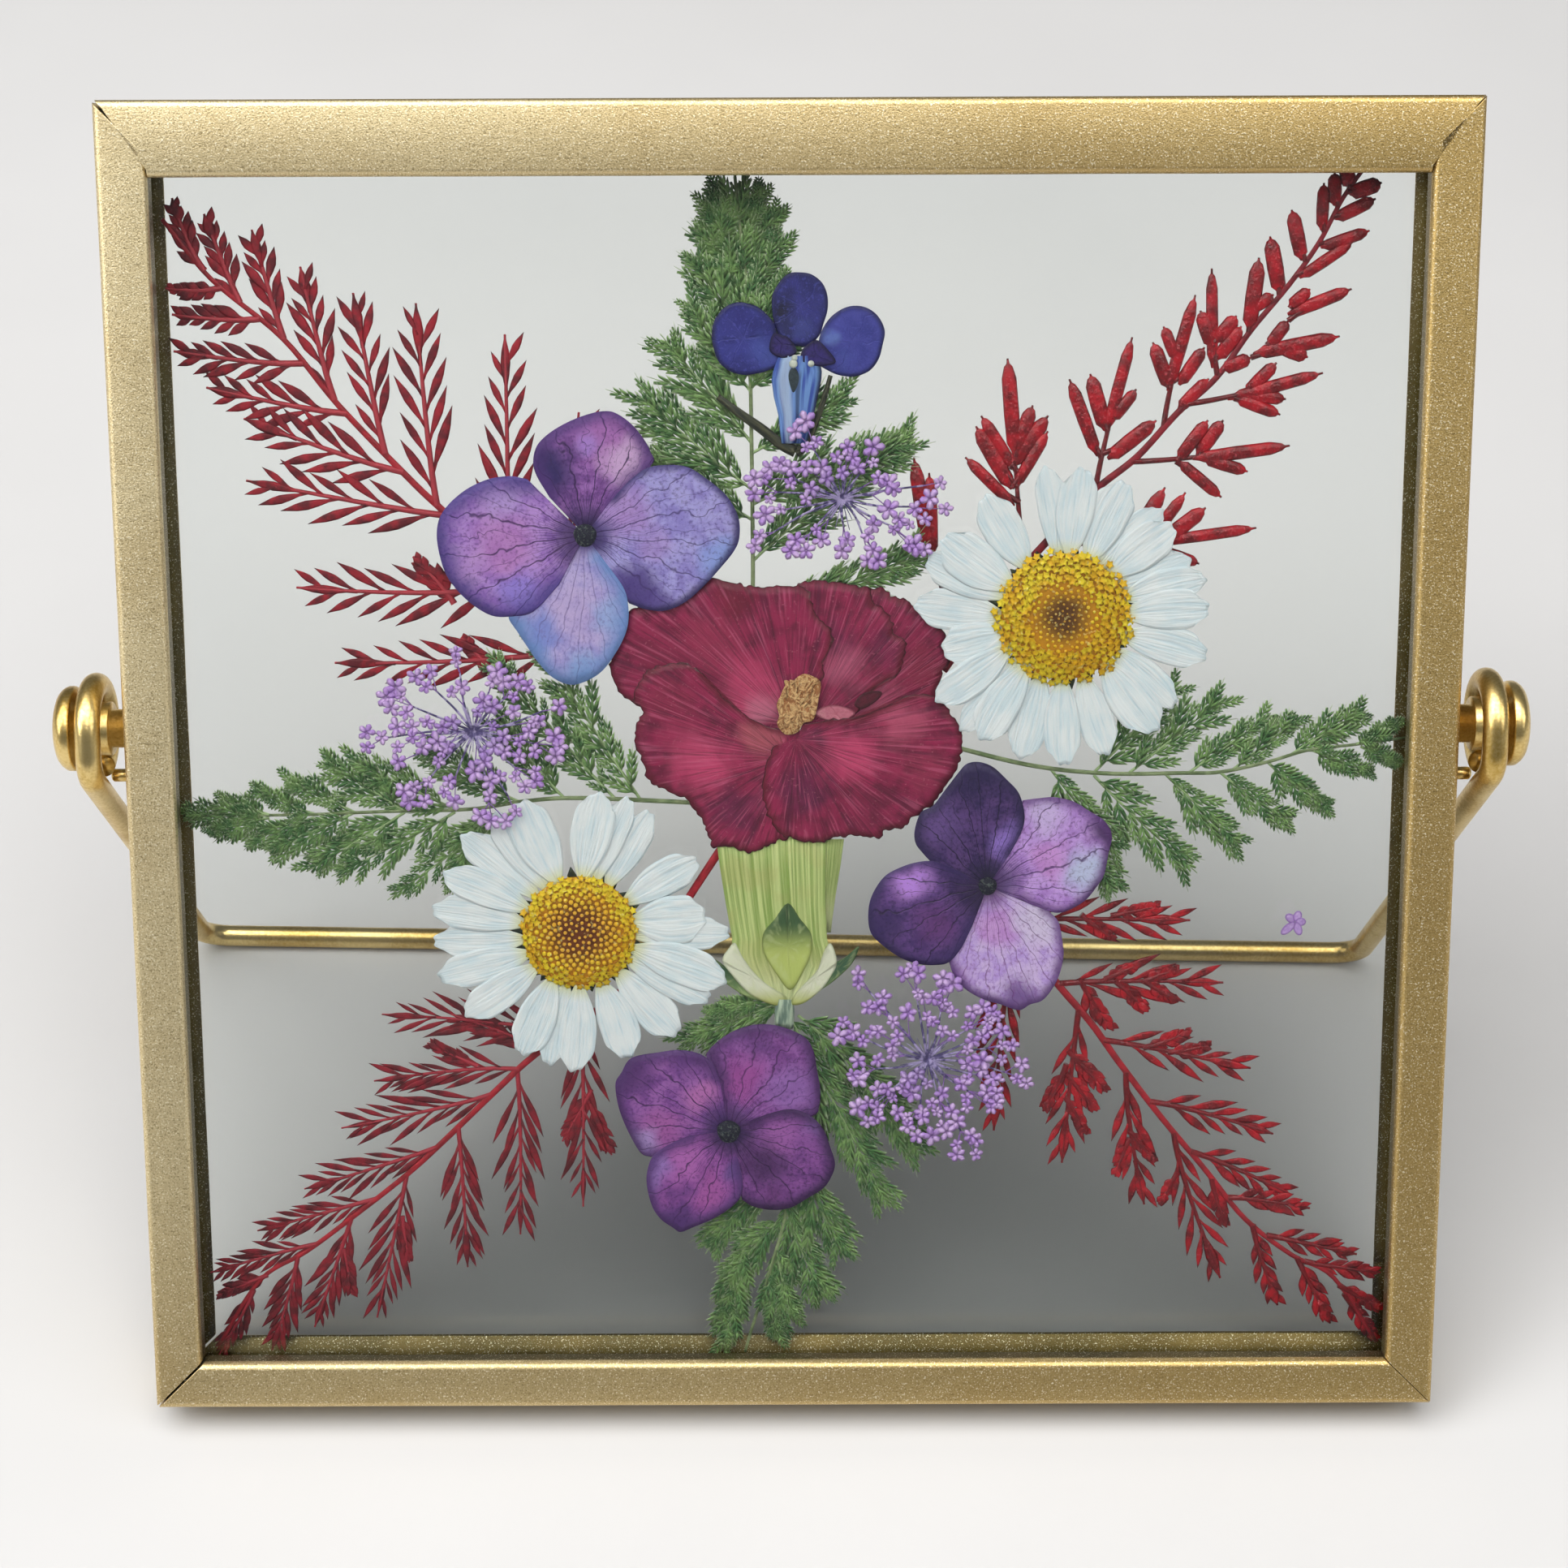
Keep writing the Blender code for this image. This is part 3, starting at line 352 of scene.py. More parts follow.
class Piece:
    """The points and faces of one piece, gathered before they become a mesh."""

    def __init__(self):
        self.points = []
        self.marks = []      # across, along, distance from the edge
        self.faces = []
        self.slots = []

    def grid(self, rows, marks=None, slot=0, ring=False):
        """Faces between rows of as many points. A ring joins each row's end to its start."""
        first, width = len(self.points), len(rows[0])
        for number, row in enumerate(rows):
            self.points += row
            self.marks += marks[number] if marks else [(0.5, 0.5, 1)] * width
        steps = width if ring else width - 1
        for number in range(len(rows) - 1):
            for step in range(steps):
                a = first + number * width + step
                b = first + number * width + (step + 1) % width
                self.faces.append((a, b, b + width, a + width))
                self.slots.append(slot)

    def fan(self, loop, slot=0, mark=(0.5, 0.5, 1)):
        """One face over a closed loop of points."""
        first = len(self.points)
        self.points += loop
        self.marks += [mark] * len(loop)
        self.faces.append(tuple(range(first, first + len(loop))))
        self.slots.append(slot)

    def tube(self, path, radius, sides=8, slot=0, flat=1.0):
        """A round bar along a path of points, with closed ends. A radius may be a list."""
        path = [Vector(point) for point in path]
        radii = radius if isinstance(radius, list) else [radius] * len(path)
        along = (path[1] - path[0]).normalized()
        across = along.cross(Vector((0, 0, 1)))
        if across.length < 0.1:
            across = along.orthogonal()
        rows = []
        for number, point in enumerate(path):
            along = (path[min(number + 1, len(path) - 1)] - path[max(number - 1, 0)]).normalized()
            across = (across - along * across.dot(along)).normalized()
            other = along.cross(across)
            row = []
            for turn in circle(sides):
                spoke = across * math.cos(turn) + other * math.sin(turn)
                spoke.z *= flat
                row.append(tuple(point + spoke * radii[number]))
            rows.append(row)
        total = len(rows) - 1
        marks = [[(side / sides, number / total, abs(math.sin(turn)))
                  for side, turn in enumerate(circle(sides))] for number in range(total + 1)]
        self.grid(rows, marks, slot, ring=True)
        self.fan(rows[0][::-1], slot)
        self.fan(rows[-1], slot, (0.5, 1, 1))

    def make(self, name, finishes, body="frame", sheet=0.0, place=on_frame, merge=1e-4):
        """The finished object, riding on its body. A sheet is a thickness in millimetres that an
        open surface gets towards the back."""
        bm = bmesh.new()
        across = bm.loops.layers.uv.new("petal")
        rim = bm.verts.layers.float.new("rim")
        made = []
        for point, mark in zip(self.points, self.marks):
            vert = bm.verts.new(place(*point))
            vert[rim] = mark[2]
            made.append(vert)
        for corners, slot in zip(self.faces, self.slots):
            face = bm.faces.new([made[corner] for corner in corners])
            face.smooth = True
            face.material_index = slot
            for loop, corner in zip(face.loops, corners):
                loop[across].uv = self.marks[corner][:2]
        bmesh.ops.remove_doubles(bm, verts=bm.verts, dist=merge * MM)
        bmesh.ops.delete(bm, geom=[v for v in bm.verts if not v.link_faces], context="VERTS")
        bm.normal_update()
        if sheet:
            turned = [face for face in bm.faces if face.normal.dot(BACK) > 0]
            bmesh.ops.reverse_faces(bm, faces=turned)
        else:
            bmesh.ops.recalc_face_normals(bm, faces=bm.faces)
        mesh = bpy.data.meshes.new(name)
        bm.to_mesh(mesh)
        bm.free()
        for item in finishes:
            mesh.materials.append(item)
        obj = bpy.data.objects.new(name, mesh)
        bpy.context.scene.collection.objects.link(obj)
        if sheet:
            wall = obj.modifiers.new("thickness", "SOLIDIFY")
            wall.thickness = sheet * MM
            wall.offset = -1.0
        if body:
            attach(obj, body)
        print(name, len(mesh.polygons), "faces")
        return obj


def dress(name, material):
    """Give a solid of the frame its finish."""
    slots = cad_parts[name].data.materials
    slots.clear()
    slots.append(material)

# %% [markdown]
# ## The brass finish
#
# The sheet is satin brass: fine speckles of brighter and duller metal, cloudy tarnish, and a
# little unevenness that breaks up the reflections. Metal has no colour of its own beyond what
# it reflects, so the base colour and the roughness carry all of it. The base colour also holds
# painted light: it runs from brighter on the left to darker on the right, as the light falls,
# and the channel's inner faces are painted dark as shade. It is darker towards the bottom too.

# %% Brass
def brass_finish(shade, place):
    speckle = place.grain(0.16, 2)
    cloud = place.grain(16, 3, warp=0.3)
    brushed = place.grain(2.5, 3, stretch=(1, 6, 6))
    across, height, depth = place.part(0) / MM, place.towards(UP), place.towards(BACK)
    # painted shade: marks the channel's inner faces, between the panes' edges, to be painted dark as shade
    channel_shade = (across.apply("ABSOLUTE").fall(64.6, 64.8) * height.apply("ABSOLUTE").fall(64.6, 64.8)
              * depth.rise(0.8, 1.1) * depth.fall(8.1, 8.3))
    # painted light: the brass is brighter on the left and darker on the right, as the light falls
    colour = across.rise(-70, 70).blend((226, 208, 164), (192, 164, 106))
    colour = layered(
        # darker towards the bottom
        colour, (height.fall(-64, -30) * 0.5, (184, 158, 104)),
        # painted shade on the channel's inner faces
        (channel_shade * 0.85, (72, 62, 24)),
        (cloud.rise(0.4, 0.7) * 0.3, (180, 150, 92)),
        (speckle.fall(0.28, 0.48) * 0.6, (134, 112, 70)),
        (speckle.rise(0.58, 0.7) * 0.9, (252, 242, 212)))
    return colour, 0.34 + brushed * 0.08 + speckle * 0.16, speckle + cloud * 0.4, 0.03


def wire_finish(shade, place):
    speckle = place.grain(0.3, 3)
    cloud = place.grain(7, 3)
    colour = (cloud * 0.6 + speckle * 0.4).rise(0.35, 0.7).blend((232, 205, 140), (190, 155, 80))
    return colour, 0.22 + cloud * 0.12 + speckle * 0.08, speckle + cloud, 0.015


brass = finish("satin_brass", brass_finish, Metallic=1.0)
bright_brass = finish("bright_brass", wire_finish, Metallic=1.0)


def glass_finish(shade, place):
    """Clear glass with a few faint smears that are a little rougher."""
    return None, place.grain(3, 2).rise(0.7, 0.9) * 0.02


for side in ("front_pane", "back_pane"):
    dress(side, finish("clear_glass", glass_finish, Base_Color=(0.97, 0.985, 0.975, 1), IOR=1.45,
                       Transmission_Weight=1.0))

# %% [markdown]
# ## Rails
#
# Each rail is one strip of brass sheet, bent four times round a small radius into a C: the front
# return, the front lip, the side and the back lip. The ends are cut to a mitre. A rail is swept
# as the closed section of its sheet, so both of its faces and its cut ends are real. Its faces
# wander by a few hundredths of a millimetre, as hand-bent sheet does.

# %% Bent sheet
def rounded_path(corners, radius, steps):
    """The corners of an open path, with each inner one replaced by an arc."""
    points = [Vector(corners[0])]
    for before, corner, after in zip(corners, corners[1:], corners[2:]):
        corner = Vector(corner)
        back = (Vector(before) - corner).normalized()
        ahead = (Vector(after) - corner).normalized()
        half = back.angle(ahead) / 2
        middle = corner + (back + ahead).normalized() * radius / math.sin(half)
        start = corner + back * radius / math.tan(half)
        end = corner + ahead * radius / math.tan(half)
        spokes = (start - middle, end - middle)
        sweep = spokes[0].angle(spokes[1])
        for step in range(steps + 1):
            turn = sweep * step / steps
            points.append(middle + (spokes[0] * math.sin(sweep - turn) + spokes[1] * math.sin(turn))
                          / math.sin(sweep))
    points.append(Vector(corners[-1]))
    return points


def sheet_section(lip):
    """The closed section of a rail's sheet, as (distance from the outer edge, depth)."""
    corners = [(lip, FRONT_RETURN, 0), (lip, 0, 0), (0, 0, 0), (0, FRAME_DEPTH, 0),
               (LIP, FRAME_DEPTH, 0)]
    outer = rounded_path(corners, BEND_RADIUS, 5)
    inset = [(lip - SHEET, FRONT_RETURN, 0), (lip - SHEET, SHEET, 0), (SHEET, SHEET, 0),
             (SHEET, FRAME_DEPTH - SHEET, 0), (LIP, FRAME_DEPTH - SHEET, 0)]
    inner = rounded_path(inset, BEND_RADIUS - SHEET + 0.02, 5)
    lips = [[(outer[end] * (2 - part) + inner[end] * (1 + part)) / 3 + push for part in (0, 1)]
            for end, push in ((0, Vector((0, 0.1, 0))), (-1, Vector((0.1, 0, 0))))]
    return outer + lips[1] + inner[::-1] + lips[0][::-1]


SIDES = {"bottom": lambda along, out, depth: (along, out - FRAME_SIDE / 2, depth),
         "top": lambda along, out, depth: (-along, FRAME_SIDE / 2 - out, depth),
         "left": lambda along, out, depth: (out - FRAME_SIDE / 2, -along, depth),
         "right": lambda along, out, depth: (FRAME_SIDE / 2 - out, along, depth)}

# %% The four rails
def rail(side, lip, start_gap, end_gap, steps=60):
    """A rail. start_gap and end_gap are the cuts left open at its two mitres."""
    piece = Piece()
    half = FRAME_SIDE / 2

    def end(out, gap):
        if lip > LIP and out > LIP + 0.09:
            return half - LIP - 0.1
        return half - out - gap / math.sqrt(2) - 0.02

    section = sheet_section(lip)
    rows = []
    for step in range(steps + 1):
        share = 0.5 - 0.5 * math.cos(math.pi * step / steps) if 0 < step < steps else step / steps
        row = []
        for spot in section:
            along = -end(spot.x, start_gap) + share * (end(spot.x, start_gap) + end(spot.x, end_gap))
            wander = noise.noise(Vector((along * 0.09, spot.x * 0.4 + len(side), spot.y * 0.3))) * 0.035
            row.append(SIDES[side](along, spot.x + wander * (spot.x > 0.15),
                                   spot.y + wander * (spot.y > 0.15)))
        rows.append(row)
    piece.grid(rows, ring=True)
    bends = len(section) // 2 - 2
    for ends in (rows[0], rows[-1]):
        for corner in range(bends - 1):
            inner = 2 * bends + 1 - corner
            piece.fan([ends[corner], ends[corner + 1], ends[inner - 1], ends[inner]])
        piece.fan([ends[number] for number in range(bends - 1, bends + 3)])
        piece.fan([ends[number] for number in (-3, -2, -1, 0)])
    return piece


for side, lip, start_gap, end_gap in (("bottom", LIP, 0.25, 0.08), ("right", LIP, 0.08, 0.1),
                                      ("top", TOP_LIP, 0.1, 0.3), ("left", LIP, 0.3, 0.25)):
    piece = rail(side, lip, start_gap, end_gap).make(side + "_brass_rail", [brass])
    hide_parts(side + "_rail")

# %% [markdown]
# ## Hinge pins
#
# A pin is a rivet: a post in the rail, a hub that the wire's eye turns on, and a rounded head.
# The stop pins are plain short posts. All are turned shapes, so each is a profile swept round.

# %% Hinge pins
FOOT_REACH = 27.1
FOOT_SKEW = 1.8
FOOT_HALF_WIDTH = 68.75
FOOT_SHIFT = -1.45
WIRE_RADIUS = 1.25
EYE_RADIUS = 4.25
EYE_X = 68.4
ARM_OFFSET = 5.4
STAND_BEND = 3.2
GAP = 0.3
STOP_RADIUS = 0.65
STOP_DEPTH = 7.3
PIVOT = on_frame(0.0, PIVOT_HEIGHT, PIVOT_DEPTH) / MM


def foot(side):
    """An end of the foot bar's centre line, from the pivot's axis, in the world's directions."""
    return Vector((FOOT_SHIFT + side * FOOT_HALF_WIDTH, FOOT_REACH - side * FOOT_SKEW,
                   WIRE_RADIUS - PIVOT.z))


def arm_normal(end):
    """In the plane across the pivot's axis, the direction in which the arm is offset."""
    along = math.atan2(end.z, end.y) + math.asin(ARM_OFFSET / math.hypot(end.y, end.z))
    return along - math.pi / 2

# %% Turned pins
def turned(profile, side, height, depth, sides=40):
    """A pin on a side rail, from its profile (radius, distance out from the rail)."""
    piece = Piece()
    piece.grid([[(side * (FRAME_SIDE / 2 + out), height + radius * math.cos(turn),
                  depth + radius * math.sin(turn)) for turn in circle(sides)]
                for radius, out in profile], ring=True)
    return piece


PIVOT_PROFILE = [
    (0, 7.3), (1.2, 7.28), (2.2, 7.22), (2.9, 7.1), (3.5, 6.88), (3.85, 6.6), (4.08, 6.3), (4.2, 6),
    (4.2, 5.5), (4.12, 5.34), (3.9, 5.25), (2.75, 4.95), (2.65, 4.85), (2.65, 1.9), (2.55, 1.8), (1.9, 1.8),
    (1.9, 0.3), (0, 0.3)]
STOP_PROFILE = [(0, 2.9), (0.3, 2.88), (0.5, 2.8), (0.62, 2.66), (0.65, 2.5), (0.65, 0.3), (0, 0.3)]
for name, side in (("left", -1), ("right", 1)):
    pin = turned(PIVOT_PROFILE, side, PIVOT_HEIGHT, PIVOT_DEPTH).make(name + "_hinge_rivet", [bright_brass])
    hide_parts(name + "_pivot_pin")
    normal = arm_normal(foot(side)) + LEAN
    back = STOP_DEPTH - PIVOT_DEPTH
    up = (ARM_OFFSET - WIRE_RADIUS - STOP_RADIUS - 0.2 - back * math.cos(normal)) / math.sin(normal)
    stop = turned(STOP_PROFILE, side, PIVOT_HEIGHT + up, STOP_DEPTH, 24).make(name + "_stop", [bright_brass])
    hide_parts(name + "_stop_pin")

# %% [markdown]
# ## The wire stand
#
# One wire makes both eyes, both arms and the foot bar. Its centre line is a path of straight
# stretches with rounded corners, and a round bar follows it. The eyes are open rings: the wire's
# end stops just short of the arm.

# %% The wire stand
def eye_points(side, steps=44):
    """An eye's centre line from its end round to the front, and the corner where the arm starts."""
    normal = arm_normal(foot(side))
    start = normal + math.acos((ARM_OFFSET - WIRE_RADIUS - GAP) / (EYE_RADIUS + WIRE_RADIUS))
    front = math.pi - LEAN
    turns = [start + (front - start) * step / steps for step in range(steps + 1)]
    ring = [Vector((side * EYE_X, EYE_RADIUS * math.cos(turn), EYE_RADIUS * math.sin(turn)))
            for turn in turns]
    lines = Matrix(((math.cos(front), math.sin(front)), (math.cos(normal), math.sin(normal))))
    corner = lines.inverted() @ Vector((EYE_RADIUS, ARM_OFFSET))
    return ring, Vector((side * EYE_X, corner.x, corner.y))


left_ring, left_corner = eye_points(-1)
right_ring, right_corner = eye_points(1)
route = rounded_path([left_ring[-1], left_corner, foot(-1), foot(1), right_corner, right_ring[-1]],
                     STAND_BEND, 14)
wire = Piece()
wire.tube(left_ring[:-1] + route + right_ring[-2::-1], WIRE_RADIUS, sides=24)
stand = wire.make("wire_stand", [bright_brass], body="stand",
                  place=lambda x, y, z: (PIVOT + Vector((x, y, z))) * MM)
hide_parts("stand")

# %% [markdown]
# ## Growing with Geometry Nodes
#
# Fronds, daisy discs and umbels repeat one small shape many times by a rule. Each rule is a
# node tree with named inputs. It works on a flat mesh in the frame's own plane, and the result
# is made a plain mesh and leaned back into place.

# %% Growing with Geometry Nodes
UPRIGHT = Matrix(((1, 0, 0, MIDDLE.x * MM), (0, UP.y, -BACK.y, MIDDLE.y * MM),
                  (0, UP.z, -BACK.z, MIDDLE.z * MM), (0, 0, 0, 1)))


KINDS = {"Seed": "Int", "Count": "Int", "Leaflet": "Object", "Floret": "Object", "Finish": "Material"}


def node_tree(name, labels):
    """A tree with named inputs. Gives the tree, its inputs as sockets, and a node maker."""
    tree = bpy.data.node_groups.new(name, "GeometryNodeTree")
    tree.interface.new_socket("Start", in_out="INPUT", socket_type="NodeSocketGeometry")
    for label in labels:
        kind = KINDS.get(label, "Float")
        tree.interface.new_socket(label, in_out="INPUT", socket_type="NodeSocket" + kind)
    tree.interface.new_socket("Result", in_out="OUTPUT", socket_type="NodeSocketGeometry")
    entry = tree.nodes.new("NodeGroupInput")
    inputs = {socket.name: Socket(tree, socket) for socket in entry.outputs if socket.name}
    return tree, inputs, Socket(tree)


def planted(points, shape, turns, scale, chosen=True):
    """A small shape on each chosen point, turned and scaled."""
    spin = turns.make("FunctionNodeEulerToRotation", {0: turns})
    one = turns.make("GeometryNodeObjectInfo", {0: shape}, output=4)
    return turns.make("GeometryNodeInstanceOnPoints", {0: points, 1: chosen, 2: one, 5: spin, 6: scale})


def end_tree(tree, shape, material):
    """Realize Instances and Set Material, then the tree's output."""
    real = shape.make("GeometryNodeRealizeInstances", {0: shape})
    done = real.make("GeometryNodeSetMaterial", {0: real, 2: material})
    tree.links.new(done.socket, tree.nodes.new("NodeGroupOutput").inputs[0])

# %% From a tree to a piece
def settled(obj):
    """The mesh of an object with its modifiers applied. The object goes away."""
    mesh = bpy.data.meshes.new_from_object(obj.evaluated_get(bpy.context.evaluated_depsgraph_get()))
    bpy.data.objects.remove(obj)
    return mesh


def grown(tree, start, values):
    """The mesh that a tree makes of a flat start mesh, leaned back on the frame."""
    holder = bpy.data.objects.new("start", start)
    bpy.context.scene.collection.objects.link(holder)
    growth = holder.modifiers.new("growth", "NODES")
    growth.node_group = tree
    for item in tree.interface.items_tree:
        if item.in_out == "INPUT" and item.name in values:
            growth[item.identifier] = values[item.name]
    mesh = settled(holder)
    mesh.transform(UPRIGHT)
    return mesh


def on_plate(x, height, depth):
    """A point of a small shape that a tree repeats, flat and not leaned back."""
    return Vector((x, height, -depth)) * MM


def pattern_object(name, piece):
    """A small shape to be repeated, kept out of the scene."""
    obj = piece.make(name, [], body=None, place=on_plate)
    bpy.context.scene.collection.objects.unlink(obj)
    return obj


def gather(name, parts, node):
    """One object of several meshes and objects, which stands for a node of the frame."""
    bm = bmesh.new()
    materials = []
    for part in parts:
        mesh = settled(part) if isinstance(part, bpy.types.Object) else part
        first = len(bm.faces)
        bm.from_mesh(mesh)
        bm.faces.ensure_lookup_table()
        for face in bm.faces[first:]:
            finish_used = mesh.materials[face.material_index]
            if finish_used not in materials:
                materials.append(finish_used)
            face.material_index = materials.index(finish_used)
            face.smooth = True
    whole = bpy.data.meshes.new(name)
    bm.to_mesh(whole)
    bm.free()
    for item in materials:
        whole.materials.append(item)
    obj = bpy.data.objects.new(name, whole)
    bpy.context.scene.collection.objects.link(obj)
    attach(obj, "frame")
    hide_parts(node)
    print(name, len(whole.polygons), "faces")
    return obj

# %% [markdown]
# ## Ferns
#
# A frond has a stalk, side sprigs along it, and narrow leaflets along each sprig. Only the
# sprigs are measured. A tree resamples every sprig's line, sets a leaflet at each point,
# left and right in turn, and one at the tip, and sweeps the sprig's own thin stalk.

# %% The tree of a sprig
sprigs, size, maker = node_tree("sprigs", [
    "Spacing", "Density", "First", "Angle", "Side length", "Side share", "Side width", "Taper", "Tip share",
    "Tip most", "Tip width", "Stalk", "Spread", "Uneven", "Seed", "Leaflet", "Finish"])


def store(shape, name, value, kind="FLOAT"):
    return shape.make("GeometryNodeStoreNamedAttribute", {0: shape, 2: name, 3: value}, data_type=kind)


def stored(name):
    return maker.make("GeometryNodeInputNamedAttribute", {"Name": name}, data_type="FLOAT")


def chance(low, high, salt):
    """A random number for each point, from the tree's seed."""
    return maker.make("FunctionNodeRandomValue", {2: low, 3: high, 8: size["Seed"] + float(salt)}, output=1)


lines = maker.make("GeometryNodeMeshToCurve", {0: size["Start"]})
whole = maker.make("GeometryNodeSplineLength", output=0) / MM
spacing = whole.math("MINIMUM", size["Spacing"], whole * size["Density"])
lines = lines.make("GeometryNodeResampleCurve", {0: lines, 3: spacing * MM}, mode="LENGTH")
lines = store(lines, "share", maker.make("GeometryNodeSplineParameter", output=0))
lines = store(lines, "order", maker.make("GeometryNodeSplineParameter", output=2))
lines = store(lines, "length", maker.make("GeometryNodeSplineLength", output=0) / MM)
points = lines.make("GeometryNodeCurveToPoints", {0: lines}, mode="EVALUATED")
tangent = Socket(sprigs, points.socket.node.outputs["Tangent"])
points = store(points, "heading", tangent.part(1).math("ARCTAN2", tangent.part(1), tangent.part(0)))
side = (stored("order").math("MODULO", stored("order"), 2.0)) * 2.0 - 1.0
drift = maker.vector(z=chance(0, 1, 1) * size["Spread"] * MM)
points = points.make("GeometryNodeSetPosition", {0: points, 3: drift})


def leaflets(select, turn, length, width, back=0.0):
    """Leaflets at the chosen points. One that is set back ends at its point."""
    heading = stored("heading")
    east = heading.apply("COSINE") * length * (-back * MM)
    north = heading.apply("SINE") * length * (-back * MM)
    moved = points.make("GeometryNodeSetPosition", {0: points, 3: maker.vector(east, north)})
    scale = maker.vector(length, width, width.apply("MINIMUM", 0.6))
    return planted(moved, size["Leaflet"], maker.vector(z=heading + turn), scale, select)


share = stored("share")
fullness = (1.0 - size["Taper"] * share) * share.make("ShaderNodeMapRange", {
    0: share, 1: 0.0, 2: 0.3, 3: 0.65, 4: 1.0})
jitter = 1.0 + chance(-1, 1, 2) * size["Uneven"]
longest = maker.math("MINIMUM", size["Side length"], stored("length") * size["Side share"])
side_leaflets = leaflets(share.apply("GREATER_THAN", size["First"]) * share.apply("LESS_THAN", 0.88),
                         side * (size["Angle"] * (1.0 + chance(-1, 1, 3) * size["Uneven"])),
                         longest * fullness * jitter, size["Side width"] * (0.4 + 0.6 * fullness) * jitter)
tip_leaflets = leaflets(share.apply("GREATER_THAN", 0.999), 0.0,
                        maker.math("MINIMUM", size["Tip most"], stored("length") * size["Tip share"]),
                        size["Tip width"] * jitter, back=1.0)
ring = maker.make("GeometryNodeCurvePrimitiveCircle", {0: 6, 4: MM})
stalk_width = size["Stalk"] * (1.0 - 0.65 * share)
stalks = maker.make("GeometryNodeCurveToMesh", {0: lines, 1: ring, 2: stalk_width, 3: True})
everything = maker.make("GeometryNodeJoinGeometry", {0: [side_leaflets, tip_leaflets, stalks]})
end_tree(sprigs, everything, size["Finish"])
print("the sprig tree has", len(sprigs.nodes), "nodes")

# %% Leaflets
# Profiles are (distance from the stalk, half width), both as shares.
LANCE = [(0, 0.4), (0.18, 0.36), (0.36, 0.75), (0.55, 1), (0.72, 0.8), (0.87, 0.38), (1, 0.03)]
POD = [(0, 0.22), (0.06, 0.4), (0.14, 0.9), (0.45, 1), (0.8, 0.95), (0.92, 0.55), (0.95, 0.2), (1, 0.1)]
BLADE = [(0, 0.08), (0.4, 0.13), (1, 0.02)]
TOOTH = [(0, 0.08), (0.55, 0.15), (1, 0.02)]


def leaflet(name, profile, flat, sides=6):
    """A leaflet one millimetre long and one to each side, with its tip towards x."""
    piece = Piece()
    piece.tube([(along, 0, 0) for along, _ in profile], [width for _, width in profile], sides, flat=flat)
    return pattern_object(name, piece)


lance = leaflet("lance", LANCE, 0.12)
pod = leaflet("pod", POD, 0.45, 8)

# A green fern's leaflet is lacy: a narrow blade with four pairs of teeth.
lacy = Piece()
lacy.tube([(along, 0, 0) for along, _ in BLADE], [width for _, width in BLADE], 4, flat=0.3)
for root, reach in ((0.1, 0.38), (0.3, 0.38), (0.5, 0.32), (0.68, 0.24)):
    for edge in (-1, 1):
        lacy.tube([(root + 0.75 * reach * along, edge * 2.0 * reach * along, 0) for along, _ in TOOTH],
                  [width * (0.5 + reach) for _, width in TOOTH], 3, flat=0.3)
lace = pattern_object("lace", lacy)

# %% Smooth paths
def places(numbers, each=2, parts=10):
    """Measured places from one row of numbers, in parts of a millimetre: each so many together."""
    return [tuple(number / parts for number in numbers[first:first + each])
            for first in range(0, len(numbers), each)]


def smooth(points, steps=4, closed=False):
    """A path through the points, open or closed, as a Catmull-Rom curve."""
    points = [Vector(point) for point in points]
    ends = [points[0] * 2 - points[1]] + points + [points[-1] * 2 - points[-2]]
    if closed:
        ends = points[-1:] + points + points[:2]
    made = []
    for a, b, c, d in zip(ends, ends[1:], ends[2:], ends[3:]):
        for step in range(steps):
            t = step / steps
            made.append(0.5 * (2 * b + (c - a) * t + (2 * a - 5 * b + 4 * c - d) * t ** 2
                               + (3 * b - a - 3 * c + d) * t ** 3))
    return made if closed else made + [points[-1]]


def nearest_on(paths, point):
    """The nearest place to a point on any of the paths."""
    best = None
    for path in paths:
        for start, end in zip(path, path[1:]):
            edge = end - start
            share = max(0.0, min(1.0, (point - start).dot(edge) / max(edge.length_squared, 1e-9)))
            place = start + edge * share
            if best is None or (place - point).length < (best - point).length:
                best = place
    return best

# %% Sprigs from their measured ends
def sprig_lines(rachis, leaves, depth, seed):
    """Each sprig as a smooth line from the stalk to its tip, in a flat mesh of edges."""
    dice = random.Random(seed)
    paths = [[Vector(point) for point in rachis]]
    bm = bmesh.new()
    for base_x, base_y, tip_x, tip_y in leaves:
        base, tip = Vector((base_x, base_y)), Vector((tip_x, tip_y))
        root = nearest_on(paths, base)
        paths.append([base, tip])
        along = tip - root
        bow = Vector((-along.y, along.x)) * dice.uniform(-0.03, 0.03)
        control = (base * 0.5 + (root + tip) * 0.25) + bow
        low = depth + dice.uniform(-0.05, 0.05)
        last = None
        for step in range(9):
            t = step / 8
            place = root * (1 - t) ** 2 + control * 2 * t * (1 - t) + tip * t ** 2
            vert = bm.verts.new(on_plate(place.x, place.y, low))
            if last:
                bm.edges.new((last, vert))
            last = vert
    mesh = bpy.data.meshes.new("sprig_lines")
    bm.to_mesh(mesh)
    bm.free()
    return mesh


def frond(name, node, shape, depth, leaf, skin, sizes, thick=(0.42, 0.2)):
    """A whole frond: its sprigs by the tree, and its main stalk as a flattened tube."""
    lines = sprig_lines(shape["rachis"], shape["leaves"], depth, sizes["Seed"])
    mesh = grown(sprigs, lines, dict(sizes, Finish=leaf))
    path = smooth(shape["rachis"], 6)
    stalk = Piece()
    radii = [thick[0] + (thick[1] - thick[0]) * number / (len(path) - 1) for number in range(len(path))]
    stalk.tube([(point.x, point.y, depth - 0.12) for point in path], radii, 8, flat=0.4)
    stem = stalk.make(name + "_stalk", [skin], body=None)
    gather(name, [mesh, stem], node)

